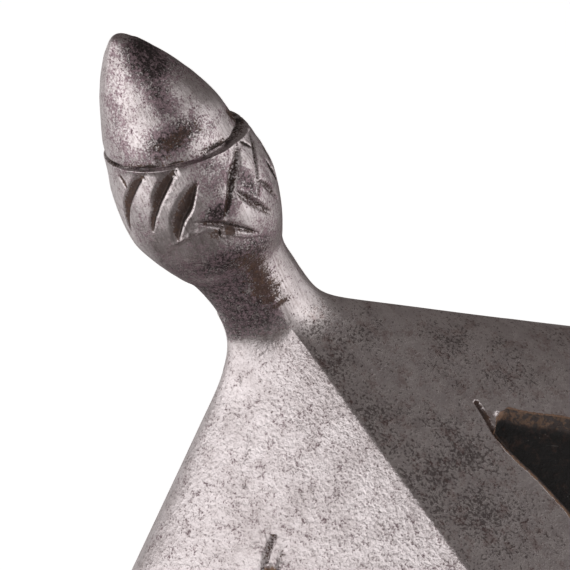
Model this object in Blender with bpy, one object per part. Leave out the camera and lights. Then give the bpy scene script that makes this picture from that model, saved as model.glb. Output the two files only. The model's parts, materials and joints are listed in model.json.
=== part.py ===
"""Burgonet: a ridged helmet whose skull rises to an acorn finial wrought in one with it.

A peak and a neck guard are riveted to the skull, and a cheekpiece hangs from a hinge on each side.
Frame: +Z up, the face looks along -Y, the wearer's left is +X, and the floor is Z = 0.
"""
import math

import bmesh
import bpy
from mathutils import Vector

MM = 0.001
UP = Vector((0.0, 0.0, 1.0))
LEFT = Vector((1.0, 0.0, 0.0))
FORWARD = Vector((0.0, -1.0, 0.0))

# Skull
APEX = Vector((0.0, 50.0, 238.0)) * MM  # where the ridge lines would meet, inside the finial's stem
RIDGE_RUN = 40 * MM  # each ridge leaves the apex straight for this long
RUN_SHARE = 0.2  # and this share of the way to the rim
WALL = 1.8 * MM
CREST_FULLNESS = dict(front=0.42, rear=0.3)  # 0 is a flat facet between two ridges, 1 a round one
FULLNESS_SPAN = (0.2, 0.95)
RIDGES = {
    # bearing and drop in degrees, then the curve's handle, pull point and rim point in mm
    "front": dict(bearing=0.0, drop=14.5, handle=53.0, pull=(0.0, -104.0, 172.0), rim=(0.0, -110.0, 118.0)),
    "side": dict(bearing=65.3, drop=38.3, handle=70.0, pull=(98.0, 0.0, 150.0), rim=(97.0, -4.0, 100.0)),
    "rear": dict(bearing=180.0, drop=64.4, handle=53.0, pull=(0.0, 125.0, 110.0), rim=(0.0, 118.0, 62.0)),
}

# Sunk fields between the raised bands that follow the keel and the side ridges
FIELD_DEPTH = 1.7 * MM
FIELD_WALL = 1.3 * MM  # width of the sloping edge
FIELD_END = 0.86  # the fields stop here, above the rim
FIELD_END_WALL = 0.012
BAND_GROWTH = 65 * MM
BANDS = {
    # how far down the field's tip is, then the bands' widths beside the keel and the side ridge
    # there and towards the rim, in mm
    "front": dict(tip=31.9, keel=(15.6, 27.0), side=(16.6, 14.0)),
    "rear": dict(tip=34.2, keel=(18.3, 27.0), side=(19.2, 23.0)),
}
NARROWEST_FLOOR = 0.5 * MM
NARROWEST_WALL = 0.25 * MM
TIP_CUT = dict(before=3.6, past=2.4, width=1.2 * MM, depth=0.8 * MM)  # the chisel overran each field's tip

# Columns of the skull's grid in each quarter: band, edge, field, edge, band
BAND_SPLIT = (0.42, 0.58)
FIELD_COLUMNS = 4
QUARTER_COLUMNS = 2 * len(BAND_SPLIT) + FIELD_COLUMNS + 2
LENGTH_SAMPLES = 40

# Rows of the skull's grid, in mm down the ridges near the apex and then as shares of the way
CREST_ROWS = (5.8, 7.2, 9.5, 13.0, 18.0, 24.0, 31.5, 35.9)
SHELL_ROWS = (0.215, 0.26, 0.33, 0.42, 0.52, 0.62, 0.74)
INNER_ROWS_FROM = 18.0
INNER_CROWN_RISE = 3.0 * MM

# Finial, measured along its own axis from the apex: heights and radii in mm
FINIAL_LEAN = math.radians(26.1)
FINIAL_AXIS = Vector((0.0, math.sin(FINIAL_LEAN), math.cos(FINIAL_LEAN)))
FINIAL_FRONT = Vector((0.0, -math.cos(FINIAL_LEAN), math.sin(FINIAL_LEAN)))
NUT_PROFILE = (
    # height, radius
    (18.5, 7.45), (21.0, 7.1), (23.4, 6.76), (24.8, 6.4), (26.6, 5.7),
    (29.6, 4.38), (32.1, 2.92), (33.4, 2.1), (34.3, 1.4), (34.8, 0.8), (35.1, 0.0),
)
CUP_PROFILE = (
    # height, radius
    (-9.0, 5.2), (2.0, 5.2), (3.7, 5.34), (5.1, 5.68), (6.3, 6.33), (8.2, 7.2), (10.1, 7.92),
    (11.8, 8.4), (13.6, 8.7), (15.7, 8.64), (17.6, 8.4), (19.2, 8.06), (20.9, 7.56), (22.9, 7.1),
)
STEM_FLATNESS = 0.12  # the stem is this much narrower from side to side
STEM_FLAT_SPAN = (4.0, 9.0)
STEM_BEND = 1.6 * MM  # the finial's top stands this far behind its stem's foot
STEM_BEND_SPAN = (-9.0, 12.0)
FRONT_FILLET = 0.7 * MM
REAR_FILLET = 1.5 * MM
FACET_FILLET = 0.25 * MM
SEAM_HEIGHT = 21.3  # the groove between nut and cup, which is cut askew
SEAM_SKEW = 1.7
SEAM_LOW_BEARING = -10.0
SEAM_HALF = 0.35
SEAM_DEPTH = 0.45 * MM
NUT_ROWS = (34.7, 33.6, 31.3, 28.4, 25.3)
CUP_ROWS = (17.9, 15.8, 13.4, 10.9, 8.7, 6.8, 5.2, 2.8, 0.0, -2.4)

# Chisel cuts in the cup: bearing in degrees from the front, height in mm, at the ends and middle
CUP_CUTS = (
    # first end, middle, last end, width in mm, depth in mm
    ((-137, 21.0), (-162, 18.6), (-174, 14.5), 0.9, 0.6),
    ((-108, 20.7), (-133, 18.2), (-141, 16.4), 0.9, 0.6),
    ((-92, 18.5), (-117, 15.8), (-132, 13.5), 1.0, 0.7),
    ((-52, 19.2), (-74, 16.8), (-93, 14.2), 1.0, 0.8),
    ((-111, 15.0), (-99, 12.8), (-76, 10.8), 1.2, 0.8),
    ((-72, 15.4), (-62, 13.1), (-52, 10.8), 1.0, 0.7),
    ((-41, 17.3), (-52, 15.7), (-60, 13.8), 0.7, 0.5),
    ((-47, 13.4), (-42, 12.2), (-37, 11.2), 0.7, 0.5),
)
PLAIN_CUT_BEARINGS = range(-8, 180, 28)
PLAIN_CUT = dict(top=19.4, bottom=14.2, sweep=24, width=1.0, depth=0.7)

# Plates
PLATE = 1.5 * MM
GAP = 0.3 * MM
COLLAR_GAP = 0.6 * MM
COLLAR_TOP = 0.93  # share of the way down the skull where the riveted collars begin
PEAK = dict(half_turn=60.0, stations=15, reach=50.8 * MM, end_reach=7 * MM, slope=11.0, bead=2.0 * MM)
NECK = dict(half_turn=72.0, stations=17, reach=42.02 * MM, end_reach=11 * MM, edge_rise=54 * MM, bead=2.2 * MM)
NECK_LEVEL_TURN = 17.0  # the neck guard's edge lies on the floor up to here
NECK_BELLY = 0.42

# Cheekpieces
HINGE_HEIGHT = 100 * MM
HINGE_Y = -4 * MM
KNUCKLE = 3.0 * MM
PIN = 1.4 * MM
PIN_BORE = 1.5 * MM
PIN_HEAD = 2.2 * MM
PIN_DOME = 1.1 * MM
HINGE_LENGTH = 30 * MM
MIDDLE_KNUCKLE = 10 * MM
LEAF = 1.4 * MM
LEAF_REACH = 24 * MM
LEAF_SHOULDER = 3.5 * MM
LEAF_STANDOFF = 1.1 * MM  # room between a flat leaf and the rounded plate under it
CHEEK = dict(front_top=-48.0, front_low=-38.0, rear_top=30.0, rear_low=6.0, inset=22.0, corner=15.0)
CHEEK_TUCK_SHARE = 0.963  # the tucked strip reaches up to here on the skull
CHEEK_JOGGLE = 4.0 * MM
CHEEK_TUCK_GAP = 1.2 * MM
CHEEK_COLUMNS = 10
CHEEK_PLATE_ROWS = 7

# Rivets
RIVET_HEAD = 3.4 * MM
RIVET_DOME = 2.0 * MM
RIVET_SHANK = 1.5 * MM
RIVET_HOLE = 1.85 * MM
RIVET_TAIL = 2.5 * MM
RIVET_TAIL_DOME = 0.9 * MM
TAIL_ROOM = 1.4 * MM  # the plates' inner faces are flat facets, so a tail keeps this much off them
RIVET_SIDES = 8
PEAK_RIVETS = (-48, -24, 0, 24, 48)
NECK_RIVETS = (-56, -28, 0, 28, 56)
RIVET_LEVEL = 0.963
LEAF_RIVET_Y = 9 * MM
LEAF_RIVET_Z = 15 * MM


def mix(a, b, share):
    return a + (b - a) * share


def smooth_step(low, high, value):
    share = min(max((value - low) / (high - low), 0.0), 1.0)
    return share * share * (3.0 - 2.0 * share)


def table_value(table, key):
    """Read a two-column table with a smooth curve through its rows."""
    rows = [table[0]] + list(table) + [table[-1]]
    key = min(max(key, table[0][0]), table[-1][0])
    index = 1
    while index < len(table) - 1 and key > rows[index + 1][0]:
        index += 1
    (x0, y0), (x1, y1), (x2, y2), (x3, y3) = rows[index - 1:index + 3]
    span = x2 - x1
    share = (key - x1) / span
    rise_1 = (y2 - y0) / (x2 - x0) * span
    rise_2 = (y3 - y1) / (x3 - x1) * span
    return (
        y1 * (2 * share**3 - 3 * share**2 + 1) + rise_1 * (share**3 - 2 * share**2 + share)
        + y2 * (3 * share**2 - 2 * share**3) + rise_2 * (share**3 - share**2)
    )


# The skull's surface

def ridge_direction(ridge):
    bearing = math.radians(ridge["bearing"])
    drop = math.radians(ridge["drop"])
    level = LEFT * math.sin(bearing) + FORWARD * math.cos(bearing)
    return level * math.cos(drop) - UP * math.sin(drop)


def ridge_point(name, share):
    """A ridge line from the apex, share 0, to the rim, share 1."""
    ridge = RIDGES[name]
    direction = ridge_direction(ridge)
    if share <= RUN_SHARE:
        return APEX + direction * (RIDGE_RUN * share / RUN_SHARE)
    t = (share - RUN_SHARE) / (1.0 - RUN_SHARE)
    start = APEX + direction * RIDGE_RUN
    handle = start + direction * ridge["handle"] * MM
    pull = Vector(ridge["pull"]) * MM
    rim = Vector(ridge["rim"]) * MM
    return (
        start * (1 - t)**3 + handle * (3 * t * (1 - t)**2)
        + pull * (3 * t**2 * (1 - t)) + rim * t**3
    )


def section_point(half, share, turn):
    """A point of one quarter: turn 0 is on the keel, 90 on the side ridge."""
    keel = ridge_point(half, share)
    side = ridge_point("side", share)
    fullness = mix(CREST_FULLNESS[half], 1.0, smooth_step(*FULLNESS_SPAN, share))
    angle = math.radians(turn)
    flat = 1.0 - math.cos(angle)
    across = mix(flat, math.sin(angle), fullness)
    down = mix(flat, math.sin(angle)**2, fullness)
    return Vector((
        side.x * across,
        mix(side.y, keel.y, math.cos(angle)),
        mix(keel.z, side.z, down),
    ))


def shell_point(half, share, turn, offset=0.0):
    """A point off the skull's smooth surface; a negative turn is on the wearer's right."""
    side = -1.0 if turn < 0.0 else 1.0
    step = 0.5
    turn = abs(turn)
    low = min(share, 1.0 - 0.01)
    point = section_point(half, share, turn)
    if turn > 0.0:
        along = section_point(half, share, turn + step) - section_point(half, share, turn - step)
    else:
        along = LEFT.copy()
    down = section_point(half, low + 0.01, turn) - section_point(half, low, turn)
    normal = along.cross(down).normalized()
    if half == "front":
        normal.negate()
    point = point + normal * offset
    return Vector((point.x * side, point.y, point.z)), Vector((normal.x * side, normal.y, normal.z))


def band_width(half, beside, share):
    """Width of the raised band beside the keel or the side ridge, in metres."""
    band = BANDS[half]
    past_tip = RIDGE_RUN * share / RUN_SHARE - band["tip"] * MM
    widening = 1.0 - math.exp(-max(past_tip, 0.0) / BAND_GROWTH)
    at_tip, at_rim = band[beside]
    return mix(at_tip, at_rim, widening) * MM


def quarter_columns(half, share):
    """The turns of the grid's columns across one quarter, and how deep each is sunk."""
    turns = [90.0 * i / LENGTH_SAMPLES for i in range(LENGTH_SAMPLES + 1)]
    points = [section_point(half, share, turn) for turn in turns]
    lengths = [0.0]
    for first, second in zip(points, points[1:]):
        lengths.append(lengths[-1] + (second - first).length)
    total = lengths[-1]

    keel_band = band_width(half, "keel", share)
    side_band = band_width(half, "side", share)
    free = total - keel_band - side_band
    edge = min(max((free - NARROWEST_FLOOR) / 2.0, NARROWEST_WALL), FIELD_WALL)
    floor = max(free - 2.0 * edge, NARROWEST_FLOOR)
    sunk = min(max((free - NARROWEST_FLOOR) / (2.0 * FIELD_WALL), 0.0), 1.0)
    sunk *= 1.0 - smooth_step(FIELD_END, FIELD_END + FIELD_END_WALL, share)
    fit = (total - floor - 2.0 * edge) / (keel_band + side_band)

    widths = [keel_band * fit * split for split in BAND_SPLIT] + [edge]
    widths += [floor / FIELD_COLUMNS] * FIELD_COLUMNS
    widths += [edge] + [side_band * fit * split for split in reversed(BAND_SPLIT)]
    fitted = smooth_step(0.05, 0.14, share) * (1.0 - smooth_step(FIELD_END + FIELD_END_WALL, 1.0, share))
    places = [0.0]
    for width in widths:
        places.append(places[-1] + mix(total / QUARTER_COLUMNS, width, fitted))

    columns = []
    index = 0
    for place in places:
        while index < LENGTH_SAMPLES - 1 and lengths[index + 1] < place:
            index += 1
        part = (place - lengths[index]) / (lengths[index + 1] - lengths[index])
        columns.append(mix(turns[index], turns[index + 1], min(part, 1.0)))
    level = [0.0] * (len(BAND_SPLIT) + 1)
    depths = level + [FIELD_DEPTH * sunk] * (FIELD_COLUMNS + 1) + level
    return columns, depths


def ring_of(front, rear):
    """Join a front and a rear quarter, each keel to ridge, with their mirror images into a ring."""
    def mirrored(points):
        return [Vector((-p.x, p.y, p.z)) if isinstance(p, Vector) else p for p in points]

    left = front[:-1] + rear[:0:-1]
    right = mirrored(rear)[:-1] + mirrored(front)[:0:-1]
    return left + right


def skull_row(share):
    """One ring of the skull: its smooth points and how deep each one is sunk."""
    quarters = {}
    for half in ("front", "rear"):
        columns, depths = quarter_columns(half, share)
        quarters[half] = ([section_point(half, share, turn) for turn in columns], depths)
    points = ring_of(quarters["front"][0], quarters["rear"][0])
    depths = ring_of(quarters["front"][1], quarters["rear"][1])
    return points, depths


def grid_normals(rows):
    """Outward normals of a grid of rings that run from the apex down."""
    normals = []
    count = len(rows[0])
    for index, row in enumerate(rows):
        above = rows[max(index - 1, 0)]
        below = rows[min(index + 1, len(rows) - 1)]
        normals.append([
            (below[i] - above[i]).cross(row[(i + 1) % count] - row[i - 1]).normalized()
            for i in range(count)
        ])
    return normals


# The finial's surface

def finial_frame(point):
    """Height along the finial's axis, distance from it, and bearing from its front."""
    offset = point - APEX
    height = offset.dot(FINIAL_AXIS)
    side = offset.dot(LEFT)
    front = offset.dot(FINIAL_FRONT)
    return height, math.hypot(side, front), math.atan2(side, front)


def seam_height(bearing):
    return SEAM_HEIGHT - SEAM_SKEW * math.cos(bearing - math.radians(SEAM_LOW_BEARING))


def finial_radius(height, bearing):
    """Radius of the turned form, in metres, at a height in mm."""
    seam = seam_height(bearing)
    profile = NUT_PROFILE if height > seam else CUP_PROFILE
    radius = table_value(profile, height) * MM
    flat = STEM_FLATNESS * (1.0 - smooth_step(*STEM_FLAT_SPAN, height))
    return radius * (1.0 - flat * math.sin(bearing)**2)


def stem_union(radius, cone_radius, bearing):
    """Blend the stem into the skull, softly at the keels and crisply on the facets."""
    at_keel = mix(REAR_FILLET, FRONT_FILLET, (1.0 + math.cos(bearing)) / 2.0)
    fillet = mix(FACET_FILLET, at_keel, math.cos(bearing)**4)
    return radius + fillet * math.log1p(math.exp((cone_radius - radius) / fillet))


def finial_point(height, radius, bearing):
    """A point at a height in mm and a radius in metres about the bent axis."""
    bend = STEM_BEND * smooth_step(*STEM_BEND_SPAN, height)
    around = LEFT * math.sin(bearing) + FINIAL_FRONT * math.cos(bearing)
    return APEX + FINIAL_AXIS * (height * MM) + around * radius - FINIAL_FRONT * bend


def crest_row(distance):
    """A ring of the skull near the apex, swollen where it meets the stem."""
    points, depths = skull_row(distance * MM / RIDGE_RUN * RUN_SHARE)
    row = []
    for point in points:
        height, cone_radius, bearing = finial_frame(point)
        height /= MM
        radius = stem_union(finial_radius(height, bearing), cone_radius, bearing)
        row.append(finial_point(height, radius, bearing))
    return row, depths


def finial_rows():
    """Rings of the finial from the tip down to the skull."""
    slopes = []
    for point in skull_row(CREST_ROWS[0] * MM / RIDGE_RUN * RUN_SHARE)[0]:
        height, radius, bearing = finial_frame(point)
        slopes.append((bearing, -radius / height))

    def ring(height):
        row = []
        for bearing, slope in slopes:
            cone_radius = max(-height, 0.0) * MM * slope
            radius = stem_union(finial_radius(height, bearing), cone_radius, bearing)
            if height > 0.0:
                radius = finial_radius(height, bearing)
            row.append(finial_point(height, radius, bearing))
        return row

    def seam_ring(rise, depth):
        row = []
        for bearing, _ in slopes:
            height = seam_height(bearing) + rise
            row.append(finial_point(height, finial_radius(height, bearing) - depth, bearing))
        return row

    rows = [ring(height) for height in NUT_ROWS]
    rows += [seam_ring(SEAM_HALF, 0.0), seam_ring(0.01, SEAM_DEPTH), seam_ring(-SEAM_HALF, 0.0)]
    rows += [ring(height) for height in CUP_ROWS]
    return rows


# Mesh building

def mesh_object(name, vertices, faces, material, sharp_angle=40.0):
    """A closed mesh object with outward faces."""
    mesh = bpy.data.meshes.new(name)
    mesh.from_pydata([tuple(v) for v in vertices], [], faces)
    work = bmesh.new()
    work.from_mesh(mesh)
    bmesh.ops.recalc_face_normals(work, faces=work.faces)
    work.to_mesh(mesh)
    work.free()
    mesh.shade_smooth()
    mesh.set_sharp_from_angle(angle=math.radians(sharp_angle))
    mesh.materials.append(material)
    item = bpy.data.objects.new(name, mesh)
    bpy.context.scene.collection.objects.link(item)
    return item


def bridged(rings, first_cap="fan", last_cap="fan"):
    """Vertices and faces of a stack of rings; an end is fanned from its single point or capped flat."""
    vertices = []
    faces = []
    starts = []
    for ring in rings:
        starts.append(len(vertices))
        vertices += ring
    count = max(len(ring) for ring in rings)
    for index in range(len(rings) - 1):
        upper = starts[index]
        lower = starts[index + 1]
        for i in range(count):
            j = (i + 1) % count
            if len(rings[index]) == 1:
                faces.append((upper, lower + i, lower + j))
            elif len(rings[index + 1]) == 1:
                faces.append((upper + i, lower, upper + j))
            else:
                faces.append((upper + i, lower + i, lower + j, upper + j))
    if first_cap == "flat":
        faces.append(tuple(range(starts[0], starts[0] + count)))
    if last_cap == "flat":
        faces.append(tuple(reversed(range(starts[-1], starts[-1] + count))))
    return vertices, faces


def extruded(outline, y_low, y_high):
    """A prism along Y of an outline given as (x, z) pairs."""
    rings = [[Vector((x, y, z)) for x, z in outline] for y in (y_low, y_high)]
    return bridged(rings, "flat", "flat")


def joined(pieces):
    """Vertices and faces of several closed bodies in one mesh."""
    vertices = []
    faces = []
    for piece_vertices, piece_faces in pieces:
        start = len(vertices)
        vertices += piece_vertices
        faces += [tuple(start + i for i in face) for face in piece_faces]
    return vertices, faces


def cutter(name, pieces):
    item = mesh_object(name, *joined(pieces), material=bpy.data.materials.new(name))
    item.hide_render = True
    item.display_type = "WIRE"
    return item


def boolean(item, other, operation="DIFFERENCE"):
    modifier = item.modifiers.new(other.name, "BOOLEAN")
    modifier.operation = operation
    modifier.solver = "EXACT"
    modifier.object = other


def steel(name, colour, roughness):
    material = bpy.data.materials.new(name)
    material.use_nodes = True
    shader = material.node_tree.nodes["Principled BSDF"]
    shader.inputs["Base Color"].default_value = (*colour, 1.0)
    shader.inputs["Roughness"].default_value = roughness
    shader.inputs["Metallic"].default_value = 1.0
    return material


# Pieces

def round_section(centre, axis, radius, sides):
    """A polygon about an axis."""
    first = axis.orthogonal().normalized()
    second = axis.cross(first)
    step = 2.0 * math.pi / sides
    return [
        centre + first * (radius * math.cos(i * step)) + second * (radius * math.sin(i * step))
        for i in range(sides)
    ]


def chisel_cut(points, outwards, width, depth):
    """A wedge that tapers to nothing at both ends of its path along a surface."""
    proud = 0.3 * MM
    rings = [[points[0] + outwards[0] * proud / 4]]
    count = len(points)
    for index in range(1, count - 1):
        along = (points[index + 1] - points[index - 1]).normalized()
        across = along.cross(outwards[index])
        swell = math.sin(math.pi * index / (count - 1))
        reach = width * swell * (proud + depth) / depth / 2.0
        rings.append([
            points[index] + outwards[index] * proud + across * reach,
            points[index] - outwards[index] * depth * swell,
            points[index] + outwards[index] * proud - across * reach,
        ])
    rings.append([points[-1] + outwards[-1] * proud / 4])
    return bridged(rings)


def cup_cut(first, middle, last, width, depth):
    """A chisel cut on the cup through three places given as (bearing, height)."""
    points = []
    outwards = []
    steps = 4
    for index in range(steps + 1):
        t = index / steps
        weights = (2 * (t - 0.5) * (t - 1), 4 * t * (1 - t), 2 * t * (t - 0.5))
        bearing = math.radians(sum(w * place[0] for w, place in zip(weights, (first, middle, last))))
        height = sum(w * place[1] for w, place in zip(weights, (first, middle, last)))
        points.append(finial_point(height, finial_radius(height, bearing), bearing))
        outwards.append(LEFT * math.sin(bearing) + FINIAL_FRONT * math.cos(bearing))
    return chisel_cut(points, outwards, width * MM, depth * MM)


def cup_cuts():
    cuts = [cup_cut(*row) for row in CUP_CUTS]
    for bearing in PLAIN_CUT_BEARINGS:
        middle = (bearing - PLAIN_CUT["sweep"] * 0.6, mix(PLAIN_CUT["top"], PLAIN_CUT["bottom"], 0.5))
        first = (bearing, PLAIN_CUT["top"])
        last = (bearing - PLAIN_CUT["sweep"], PLAIN_CUT["bottom"])
        cuts.append(cup_cut(first, middle, last, PLAIN_CUT["width"], PLAIN_CUT["depth"]))
    return cuts


def tip_cuts():
    """The chisel's overrun at the tip of each sunk field."""
    cuts = []
    for half, band in BANDS.items():
        for side in (1.0, -1.0):
            points = []
            outwards = []
            for index in range(5):
                distance = band["tip"] + mix(-TIP_CUT["before"], TIP_CUT["past"], index / 4)
                share = distance * MM / RIDGE_RUN * RUN_SHARE
                turn = quarter_columns(half, share)[0][QUARTER_COLUMNS // 2]
                point, outward = shell_point(half, share, side * turn)
                points.append(point)
                outwards.append(outward)
            cuts.append(chisel_cut(points, outwards, TIP_CUT["width"], TIP_CUT["depth"]))
    return cuts


def build_skull(material, holes):
    crest = [crest_row(distance) for distance in CREST_ROWS]
    end_rows = (FIELD_END, FIELD_END + FIELD_END_WALL, mix(FIELD_END, 1.0, 0.55), 1.0)
    shell = [skull_row(share) for share in SHELL_ROWS + end_rows]
    rows = [row for row, _ in crest + shell]
    depths = [depth for _, depth in crest + shell]
    normals = grid_normals(rows)

    outer = []
    inner = []
    first_inner = CREST_ROWS.index(INNER_ROWS_FROM)
    for index, row in enumerate(rows):
        outer.append([p - n * d for p, n, d in zip(row, normals[index], depths[index])])
        if index >= first_inner:
            inner.append([p - n * (d + WALL) for p, n, d in zip(row, normals[index], depths[index])])

    tip = finial_point(NUT_PROFILE[-1][0], 0.0, 0.0)
    crown = sum(inner[0], Vector()) / len(inner[0]) + FINIAL_AXIS * INNER_CROWN_RISE
    rings = [[tip]] + finial_rows() + outer + inner[::-1] + [[crown]]
    skull = mesh_object("skull", *bridged(rings), material=material, sharp_angle=28.0)
    boolean(skull, cutter("chisel_cutter", cup_cuts() + tip_cuts()))
    boolean(skull, holes)
    return skull


def plate_loft(name, sections, material, holes):
    item = mesh_object(name, *bridged(sections, "flat", "flat"), material=material, sharp_angle=35.0)
    boolean(item, holes)
    return item


def collar_lines(half, turn):
    """Inner and outer points of a collar on the skull, from its top down to the rim."""
    shares = (COLLAR_TOP, mix(COLLAR_TOP, 1.0, 0.5), 1.0)
    inner = [shell_point(half, share, turn, COLLAR_GAP)[0] for share in shares]
    outer = [shell_point(half, share, turn, COLLAR_GAP + PLATE)[0] for share in shares]
    return inner, outer


def bead_arc(centre, out, radius, angles):
    return [
        centre + out * (radius * math.cos(math.radians(a))) + UP * (radius * math.sin(math.radians(a)))
        for a in angles
    ]


def peak_section(turn):
    """Cross-section of the peak at one turn about the brow."""
    inner, outer = collar_lines("front", turn)
    _, normal = shell_point("front", 1.0, turn)
    level = Vector((normal.x, normal.y, 0.0)).normalized()
    out = (level * 0.6 + FORWARD * 0.4).normalized()
    swing = math.cos(math.radians(90.0 * turn / PEAK["half_turn"]))
    reach = mix(PEAK["end_reach"], PEAK["reach"], max(swing, 0.0)**0.8)
    slope = math.tan(math.radians(PEAK["slope"]))

    def plate_point(share, rise):
        dip = slope * reach * share * (0.6 + 0.4 * share)
        return inner[-1] + out * (reach * share) + UP * (rise - dip)

    below = [plate_point(share, 0.0) for share in (0.45, 0.93)]
    above = [plate_point(share, PLATE) for share in (0.93, 0.45)]
    corner = outer[-1] + UP * (PLATE + 0.4 * MM)
    centre = plate_point(1.0, PLATE / 2.0)
    bead = bead_arc(centre, out, PEAK["bead"], (220, 265, 310, 355, 40, 85, 130))
    return inner + below + bead + above + [corner] + outer[1::-1]


def neck_section(turn):
    """Cross-section of the neck guard at one turn about the nape."""
    inner, outer = collar_lines("rear", turn)
    _, normal = shell_point("rear", 1.0, turn)
    out = Vector((normal.x, normal.y, 0.0)).normalized()
    lift = smooth_step(NECK_LEVEL_TURN, NECK["half_turn"] + 8.0, abs(turn))
    reach = mix(NECK["reach"], NECK["end_reach"], smooth_step(10.0, NECK["half_turn"], abs(turn)))
    bead = NECK["bead"]
    land = bead * math.sin(math.radians(67.5))
    start = (inner[-1] + outer[-1]) / 2.0
    end = Vector((start.x, start.y, 0.0)) + out * reach + UP * (land + NECK["edge_rise"] * lift)
    knee = Vector((start.x, start.y, mix(start.z, end.z, NECK_BELLY)))

    below = []
    above = []
    for t in (0.3, 0.6, 0.93):
        point = start * (1 - t)**2 + knee * (2 * t * (1 - t)) + end * t**2
        along = (knee - start) * (1 - t) + (end - knee) * t
        across = Vector((out.x * -along.z, out.y * -along.z, along.dot(out))).normalized()
        below.append(point - across * PLATE / 2.0)
        above.append(point + across * PLATE / 2.0)
    arc = bead_arc(end, out, bead, (180, 247.5, 292.5, 337.5, 22.5, 90))
    return inner + below + arc + above[::-1] + outer[::-1]


def stations(plate):
    last = plate["stations"] - 1
    return [mix(-plate["half_turn"], plate["half_turn"], i / last) for i in range(last + 1)]


def build_peak(material, holes):
    sections = [peak_section(turn) for turn in stations(PEAK)]
    return plate_loft("peak", sections, material, holes)


def build_neck_guard(material, holes):
    sections = [neck_section(turn) for turn in stations(NECK)]
    return plate_loft("neck_guard", sections, material, holes)


def rim_at(y):
    """The skull's rim at the sides: its outer X and its Z, for a given Y."""
    side = Vector(RIDGES["side"]["rim"]) * MM
    keel = Vector(RIDGES["front" if y < side.y else "rear"]["rim"]) * MM
    cosine = (y - side.y) / (keel.y - side.y)
    return side.x * math.sqrt(1.0 - cosine**2), mix(side.z, keel.z, cosine**2)


def cheek_inset(height):
    """How far the cheekpiece has drawn in below the hinge."""
    fall = max(HINGE_HEIGHT - height, 0.0) / HINGE_HEIGHT
    return CHEEK["inset"] * MM * fall**1.7


def tucked_point(y, share):
    """A point of the cheekpiece's tucked strip, inside the skull's wall."""
    side_y = RIDGES["side"]["rim"][1]
    half = "front" if y < side_y * MM else "rear"
    cosine = (y / MM - side_y) / (RIDGES[half]["rim"][1] - side_y)
    return shell_point(half, share, math.degrees(math.acos(cosine)), -WALL - CHEEK_TUCK_GAP)[0]


def cheek_grid():
    """Outer points of the left cheekpiece, in rows from the top down."""
    rows = []
    for row in range(3 + CHEEK_PLATE_ROWS):
        line = []
        for column in range(CHEEK_COLUMNS + 1):
            a = column / CHEEK_COLUMNS
            top_y = mix(CHEEK["front_top"], CHEEK["rear_top"], a) * MM
            low_y = mix(CHEEK["front_low"], CHEEK["rear_low"], a) * MM
            if row == 0:
                line.append(tucked_point(top_y, CHEEK_TUCK_SHARE))
            elif row == 1:
                line.append(tucked_point(top_y, 1.0) - UP * CHEEK_TUCK_GAP)
            else:
                b = (row - 2) / CHEEK_PLATE_ROWS
                y = mix(top_y, low_y, b**1.3)
                rim_x, rim_z = rim_at(y)
                past = max(abs(2.0 * a - 1.0) - 0.45, 0.0) / 0.55
                low_z = CHEEK["corner"] * MM * past**2
                z = mix(rim_z - CHEEK_JOGGLE, low_z, b)
                line.append(Vector((rim_x - cheek_inset(z), y, z)))
        rows.append(line)
    return rows


def sheet_solid(rows, thickness):
    """Thicken an open grid inwards into a closed plate."""
    columns = len(rows[0])
    outer = [point for row in rows for point in row]
    inner = []
    for r, row in enumerate(rows):
        for c, point in enumerate(row):
            along = row[min(c + 1, columns - 1)] - row[max(c - 1, 0)]
            down = rows[min(r + 1, len(rows) - 1)][c] - rows[max(r - 1, 0)][c]
            normal = along.cross(down).normalized()
            if r == len(rows) - 1:
                normal = Vector((normal.x, normal.y, 0.0)).normalized()
            inner.append(point - normal * thickness * math.copysign(1.0, normal.x))
    start = len(outer)
    faces = []
    for r in range(len(rows) - 1):
        for c in range(columns - 1):
            i = r * columns + c
            square = (i, i + 1, i + columns + 1, i + columns)
            faces.append(square)
            faces.append(tuple(start + k for k in reversed(square)))
    last = (len(rows) - 1) * columns
    border = list(range(columns))
    border += [r * columns + columns - 1 for r in range(1, len(rows))]
    border += list(range(last + columns - 2, last - 1, -1))
    border += [r * columns for r in range(len(rows) - 2, 0, -1)]
    for first, second in zip(border, border[1:] + border[:1]):
        faces.append((first, start + first, start + second, second))
    return outer + inner, faces


def sided(vertices, side):
    """Mirror points to the wearer's right when side is -1."""
    return [Vector((v.x * side, v.y, v.z)) for v in vertices]


def hinge_x():
    return RIDGES["side"]["rim"][0] * MM + GAP + KNUCKLE


def hang(item, axis_empty):
    """Move a piece's origin onto the hinge axis and parent it there."""
    item.data.transform(axis_empty.matrix_world.inverted())
    item.parent = axis_empty


def leaf_outline(upper):
    """Outline in X and Z of a leaf, from its shoulder near the knuckle to its far end."""
    if upper:
        x = hinge_x() - KNUCKLE
        low = HINGE_HEIGHT + LEAF_SHOULDER
        high = HINGE_HEIGHT + LEAF_REACH
        return [(x, low), (x + LEAF, low), (x + LEAF, high), (x, high)]
    inner = []
    outer = []
    for share in (0.0, 0.35, 0.7, 1.0):
        z = mix(HINGE_HEIGHT - LEAF_SHOULDER, HINGE_HEIGHT - LEAF_REACH, share)
        x = hinge_x() - KNUCKLE - cheek_inset(z)
        inner.append((x, z))
        outer.append((x + LEAF, z))
    return inner + outer[::-1]


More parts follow.
